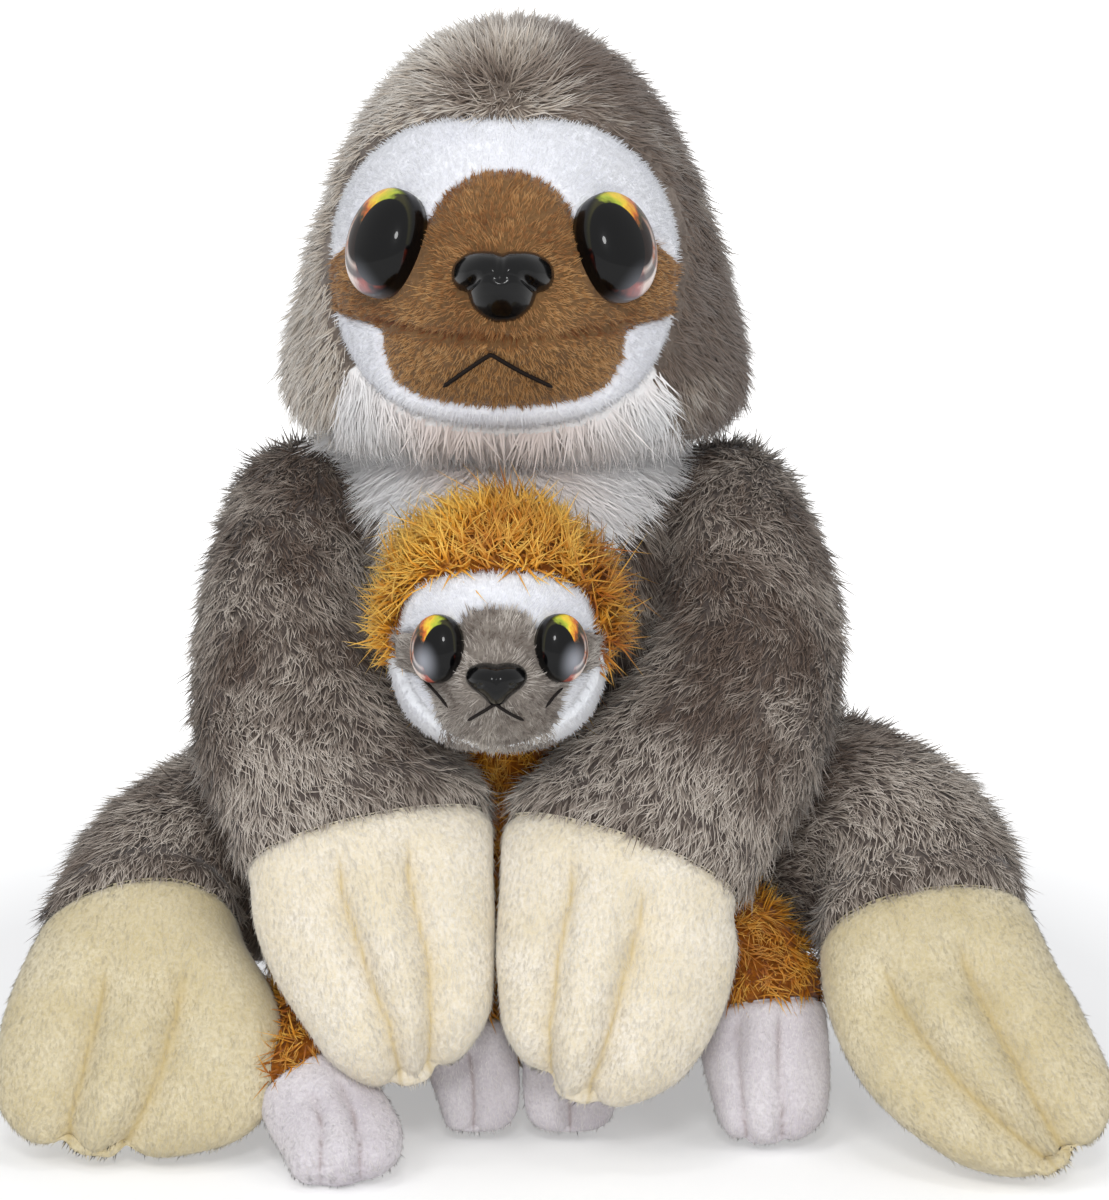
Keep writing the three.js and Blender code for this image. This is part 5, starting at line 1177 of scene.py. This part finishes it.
def press_grooves(skin, limb, grooves, depth, wide, arch=0):
    """Grooves pressed into a paw, each a soft valley with its seam as a thin line in the middle, both painted darker as
    shade.

    Depth falls off with the distance across from the groove's line as exp(-(d / wide)^2). A groove opens from its
    dimple, runs to the tip in front and fades a little way back underneath. An arch is the soft step that joins
    the two dimples of a foot.
    """
    at, _, wide_way, _ = limb.frame(skin.share)
    across = ((skin.points - at) * wide_way).sum(-1)
    in_front = smooth(-0.15, 0.3, np.sin(skin.turn))
    pressed, seam = np.zeros(skin.share.shape), np.zeros(skin.share.shape)
    for groove in grooves:
        shares, places = np.array(groove).T
        start = shares[0]
        off = np.abs(across - np.interp(skin.share, shares, places))
        reach_on = in_front * smooth(start - 0.08, start - 0.01, skin.share)
        reach_on = reach_on + (1 - in_front) * 0.8 * smooth(0.9, 0.98, skin.share)
        line = 0.75 * np.exp(-((off / wide) ** 2)) + 0.25 * np.exp(-((off / (0.5 * wide)) ** 2))
        pressed = np.maximum(pressed, reach_on * line)
        seam = np.maximum(seam, reach_on * np.exp(-((off / (0.13 * wide)) ** 2)))
        dimple = np.exp(-(((skin.share - start) / 0.045) ** 2) - (off / (1.3 * wide)) ** 2) * in_front
        pressed = np.maximum(pressed, 0.85 * dimple)
    if arch:
        (start_a, place_a), (start_b, place_b) = grooves[0][0], grooves[1][0]
        between = np.clip((across - place_a) / (place_b - place_a), 0, 1)
        off = skin.share - (start_a + (start_b - start_a) * between) + 0.03 * np.sin(math.pi * between)
        inside = smooth(place_a - 4, place_a, across) * smooth(place_b + 4, place_b, across) * in_front
        pressed = np.maximum(pressed, arch * inside * np.exp(-((off / 0.025) ** 2)))
    pressed *= smooth(1.0, 0.985, skin.share)
    # Painted shade: the valleys and the seam lines darker
    skin.shade = skin.shade - 0.9 * pressed**2 - 1.5 * seam
    skin.amount *= 1 - 0.35 * seam
    skin.push(-depth * pressed)


def make_limb(name, end, seam, rows, grows, piles, materials, droop, groove):
    """Sleeve and paw of one limb as two closed skins that meet in a seam, each with its pile.

    At the seam the sleeve swells and its pile lies flat along the limb, so that it laps over the sunken paw.
    """
    limb = LIMBS[name]
    sleeve = limb.skin(-1, seam, rows[0], rows[1], grows[0])
    _, along, _, _ = limb.frame(np.maximum(sleeve.share, 0))
    sleeve.comb(along + np.array([0, 0, -droop]), 0.32, 33)
    sleeve.amount *= clear_of_torso(sleeve.points)
    at_wrist = smooth(seam - 0.08, seam - 0.03, sleeve.share)
    flat = unit(along - sleeve.normals * (along * sleeve.normals).sum(-1, keepdims=True))
    sleeve.nap = sleeve.nap + (0.85 * flat - sleeve.nap) * at_wrist[..., None]
    sleeve.push(1.4 * at_wrist)
    sleeve.amount *= (sleeve.share < seam - 0.002) * (1 - 0.6 * smooth(-0.6, -0.85, sleeve.normals[..., 2]))
    sleeve.shade = shade_of(sleeve)
    sleeve_cloth = sleeve.mesh(f"{name}_sleeve_cloth", materials[0][0])
    sleeve_fur = grow_pile(f"{name}_fur", sleeve, piles[0], materials[0][1], SEED + 59 + len(name))
    paw = limb.skin(seam, 1, rows[2], rows[3], grows[1], 0.8)
    paw.push(-1.5 * smooth(seam + 0.035, seam, paw.share))
    paw.amount *= 1 - 0.6 * smooth(-0.6, -0.85, paw.normals[..., 2])
    press_grooves(paw, limb, GROOVES[name], *groove)
    _, along, _, _ = limb.frame(paw.share)
    paw.comb(along, 0.15, 34)
    paw.amount[:2] = 0
    paw_cloth = paw.mesh(f"{name}_{end}_cloth", materials[1][0])
    paw_pile = grow_pile(f"{name}_{end}_pile", paw, piles[1], materials[1][1], SEED + 69 + len(name))
    return [sleeve_cloth] + sleeve_fur, [paw_cloth] + paw_pile


for word in SIDES:
    for kind, end, seam, velour, droop, groove, bend in (
        ("arm", "paw", 0.555, (CREAM_CLOTH, CREAM_FUR), 0.2, (3.9, 4.0), (8, 22)),
        ("leg", "foot", 0.5, (FOOT_CLOTH, FOOT_FUR), 0.3, (4.4, 4.8, 0.4), (5, 25)),
    ):
        limb = f"{kind}_{word}"
        sleeve, paw = make_limb(
            limb, end, seam, (44, 64, 60, 168), (-2.6, -1.1), (BODY_PILE, CREAM_PILE),
            ((BODY_CLOTH, BODY_FUR), velour), droop, groove,
        )
        hinge(sleeve, limb, "grey_fur", *bend, [f"{limb}_sleeve", f"{limb}_stuffing"], 0.8)
        dress(paw, limb, "cream_pile", [f"{limb}_{end}"], 0.8)

# Baby's head, body and limbs. Its hood ends at the cheeks, and below them the head is white with a grey chin
baby_hood = BABY_HEAD.skin(56, 90, -3.4)
x, y, z = np.moveaxis(baby_hood.points, -1, 0)
front = y < -84
mask_share = face_share(BABY_FACE, BABY_MASK_OUTLINE, x, z)
baby_hood.push(-1.0 * ((mask_share < 0.95) & front))
baby_hood.comb(unit(baby_hood.points - np.array([BABY_MIDDLE, -100, 108])) + np.array([0, 0.25, -0.1]), 0.7, 37)
baby_hood.nap *= np.where(front, 0.25 + 0.75 * smooth(1.0, 1.35, mask_share), 1)[..., None]
below = smooth(112, 107, z) * smooth(-72, -78, y)
baby_hood.amount = (1 - (mask_share < 0.93) * front) * (1 - below)
cheeks = smooth(14, 22, np.abs(x - BABY_MIDDLE)) * smooth(108, 114, z)
baby_hood.length = 0.75 + 0.25 * smooth(106, 116, z) + 0.12 * cheeks
# Painted light from the left on the baby's hood: its left side lighter, its right a little darker, with waves of tone
tint = 0.9 * smooth(0, -24, x) - 0.2 * smooth(0, 24, x) + 0.6 * waves(baby_hood.points, 18, SEED + 6)
baby_hood.shade = 4 * below
baby_hood_cloth = baby_hood.mesh("baby_hood_cloth", ORANGE_CLOTH)
baby_hood.shade = tint
baby_hood_fur = grow_pile("baby_hood_fur", baby_hood, CURLY_PILE, ORANGE_FUR, SEED + 90)
dress(
    [baby_hood_cloth] + baby_hood_fur, "baby_head", "orange_fur", ["baby_hood", "baby_head_stuffing"], fill=0.85,
)
chin = np.abs(x - BABY_MIDDLE) < 11.5
baby_hood.amount = (mask_share > 0.93) * below * (1 - chin)
baby_hood.length, baby_hood.shade = 1 + 0 * x, 0 * x
baby_hood.comb(np.stack([(x - BABY_MIDDLE) * 0.02, 0.5 + 0 * x, -1.0 + 0 * x], -1), 0.2, 38)
baby_ruff = grow_pile("baby_chin_ruff", baby_hood, BABY_MASK_PILE, WHITE_FUR, SEED + 92)
dress(baby_ruff, "baby_head", "white_pile")
baby_hood.amount = (mask_share > 0.93) * below * chin
baby_chin = grow_pile("baby_chin_pile", baby_hood, BABY_MUZZLE_PILE, GREY_FUR, SEED + 93)
dress(baby_chin, "baby_head", "grey_pile")
make_face(
    "baby_", BABY_HEAD, BABY_FACE, (BABY_MASK_OUTLINE, BABY_MUZZLE_OUTLINE),
    [(-15.3, 114.8, 5.8, 7.2), (10.3, 114.8, 5.8, 7.2)], (BABY_MIDDLE, 109.2, 6.4, 4.5),
    ((-3.0, 0.6, 0.8), (-1.5, 0.5, 0.7)), (BABY_MASK_PILE, BABY_MUZZLE_PILE),
    ((WHITE_CLOTH, WHITE_FUR), (GREY_CLOTH, GREY_FUR)), ("white_pile", "grey_pile"), "baby_head", 150,
)
for word, side in SIDES.items():
    spot = mount(BABY_HEAD, -2.5 + side * 12.8, 114.8, 0.7)
    make_eye(f"baby_eye_{word}", spot, side, (5.8, 7.2), 4.1, 2.4, "baby_head", BABY_EYES)
    start = {-1: (-1.25, 1.1), 1: (-0.5, 0.45)}[side]
    stitch = [(BABY_MIDDLE + side * (11.4 - a * 3.6), 105 + b * 4.0) for a, b in (start, (0, 0.1), (0.5, -0.45))]
    make_thread(
        f"baby_cheek_floss_{word}", BABY_HEAD, stitch, 0.34, 0.9, "baby_head", DARK_THREAD,
        [f"baby_cheek_thread_{word}"],
    )
make_nose(
    "baby_nose_pad", "baby_nose", mount(BABY_HEAD, BABY_MIDDLE, 109.2, -0.5), BABY_NOSE_OUTLINE, (6.4, 4.5), 4.6,
    "baby_head", NOSE_PLASTIC, 0.4,
)
mouth = [(-3.2 + a * 5.8, 104.8 + b * 4.4) for a, b in MOUTH_LINE]
make_thread("baby_mouth_floss", BABY_HEAD, mouth, 0.38, 0.3, "baby_head", DARK_THREAD, ["baby_mouth_thread"])
baby_body = BABY_BODY.skin(40, 60, -2.6)
baby_body.comb(np.array([0, 0, -1.0]))
baby_body.amount *= clear_of_torso(baby_body.points)
baby_body_cloth = baby_body.mesh("baby_body_cloth", ORANGE_CLOTH)
baby_body_fur = grow_pile("baby_body_fur", baby_body, SMALL_CURLY_PILE, ORANGE_FUR, SEED + 95)
dress(
    [baby_body_cloth] + baby_body_fur, "torso", "orange_fur", ["baby_body_shell", "baby_body_stuffing"], fill=0.8,
)
for word, side in SIDES.items():
    for kind, seam in (("baby_arm", 0.62), ("baby_leg", {-1: 0.5, 1: 0.66}[side])):
        limb = f"{kind}_{word}"
        sleeve, paw = make_limb(
            limb, "paw", seam, (26, 36, 36, 80), (-1.6, -0.9), (SMALL_CURLY_PILE, LILAC_PILE),
            ((ORANGE_CLOTH, ORANGE_FUR), (LILAC_CLOTH, LILAC_FUR)), 0.3, (1.6, 2.0),
        )
        dress(sleeve, "torso", "orange_fur", [f"{limb}_sleeve"], 0.85)
        dress(paw, "torso", "white_pile", [f"{limb}_paw"], 0.85)

# Washers behind the fabric stay as the solids have them
for name in ("eye_left", "eye_right", "nose", "baby_eye_left", "baby_eye_right", "baby_nose"):
    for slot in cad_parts[f"{name}_washer"].material_slots:
        slot.material = WASHER_PLASTIC


def seen_directly(tree):
    """1 for rays from the camera and for those that gloss or glass sends on, 0 for light that falls on things."""
    path = node(tree, "ShaderNodeLightPath")
    either = node(tree, "ShaderNodeMath", {
        0: path.outputs["Is Camera Ray"], 1: path.outputs["Is Glossy Ray"],
    }, operation="MAXIMUM")
    return node(tree, "ShaderNodeMath", {
        0: either.outputs[0], 1: path.outputs["Is Transmission Ray"],
    }, operation="MAXIMUM").outputs[0]


def area_light(name, at, aim, size, watts, mirrored):
    """Soft box at a place in mm, turned to face another. Only the mirrored ones show in gloss."""
    light = bpy.data.lights.new(name, "AREA")
    light.shape = "DISK"
    light.size = size * MM
    light.energy = watts
    lamp = bpy.data.objects.new(name, light)
    way = unit(np.array(aim, float) - np.array(at, float))
    lamp.location = np.array(at) * MM
    lamp.rotation_euler = (math.acos(-way[2]), 0, math.atan2(way[1], way[0]) - math.pi / 2)
    lamp.visible_glossy = mirrored
    bpy.context.scene.collection.objects.link(lamp)


# Pale floor and white surroundings, with soft boxes in front, a low one to fill the shade, and one on top
floor_mesh = bpy.data.meshes.new("floor")
FLOOR_HALF, FLOOR_LEVEL = 4, -0.0002
floor_mesh.from_pydata(
    [(a * FLOOR_HALF, b * FLOOR_HALF, FLOOR_LEVEL) for a, b in ((-1, -1), (1, -1), (1, 1), (-1, 1))], [],
    [(0, 1, 2, 3)],
)
floor = bpy.data.objects.new("floor", floor_mesh)
bpy.context.scene.collection.objects.link(floor)
floor_material = bpy.data.materials.new("pale_floor")
floor_material.use_nodes = True
ground = floor_material.node_tree
ground.nodes.clear()
matt = node(ground, "ShaderNodeBsdfDiffuse", Color=srgb("#ffffff"))
spot = node(ground, "ShaderNodeTexCoord").outputs["Object"]
far = node(ground, "ShaderNodeVectorMath", {0: spot}, operation="LENGTH").outputs["Value"]
fade = node(ground, "ShaderNodeMapRange", {"Value": far, "From Min": 0.15, "From Max": 0.3, "To Min": 0.28})
glow = node(ground, "ShaderNodeEmission", Strength=1.35)
part = node(ground, "ShaderNodeMath", {0: fade.outputs[0], 1: seen_directly(ground)}, operation="MULTIPLY")
both = node(ground, "ShaderNodeMixShader", {"Fac": part.outputs[0], 1: matt.outputs[0], 2: glow.outputs[0]})
node(ground, "ShaderNodeOutputMaterial", {"Surface": both.outputs[0]})
floor_mesh.materials.append(floor_material)
floor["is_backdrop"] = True
MOTHER_MIDDLE = (0, -40, 120)
for name, at, aim, size, watts, mirrored in (
    ("soft_box_left", (-600, -900, 1000), MOTHER_MIDDLE, 700, 3.9, False),
    ("soft_box_right", (700, -700, 800), MOTHER_MIDDLE, 600, 1.6, False),
    ("front_lamp", (0, -1250, 860), MOTHER_MIDDLE, 260, 4.4, True),
    ("low_fill", (0, -1300, 60), (0, -40, 150), 700, 4.6, False),
    ("top_lamp", (-60, -220, 900), (0, -60, 180), 130, 0.6, False),
):
    area_light(name, at, aim, size, watts, mirrored)
world = bpy.data.worlds.new("studio")
bpy.context.scene.world = world
world.use_nodes = True
sky = world.node_tree
sky.nodes.clear()
plain = node(sky, "ShaderNodeBackground", Color=srgb("#f4f6fa"), Strength=0.48)
white = node(sky, "ShaderNodeBackground", Color=srgb("#ffffff"), Strength=1.0)
mix = node(sky, "ShaderNodeMixShader", {"Fac": seen_directly(sky), 1: plain.outputs[0], 2: white.outputs[0]})
node(sky, "ShaderNodeOutputWorld", {"Surface": mix.outputs[0]})

camera = bpy.data.objects.new("camera", bpy.data.cameras.new("camera"))
camera.data.lens = 134.2
camera.data.sensor_width = 36
# The camera stands one metre from its aim and looks down on it
CAMERA_AIM = (0.009, -0.035, 0.10995)
CAMERA_ELEVATION = math.radians(12)
camera.location = (
    CAMERA_AIM[0], CAMERA_AIM[1] - math.cos(CAMERA_ELEVATION), CAMERA_AIM[2] + math.sin(CAMERA_ELEVATION),
)
camera.rotation_euler = (math.radians(78), 0, 0)
bpy.context.scene.collection.objects.link(camera)
bpy.context.scene.camera = camera
bpy.context.scene.view_settings.view_transform = "Standard"

new_low, new_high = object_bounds()
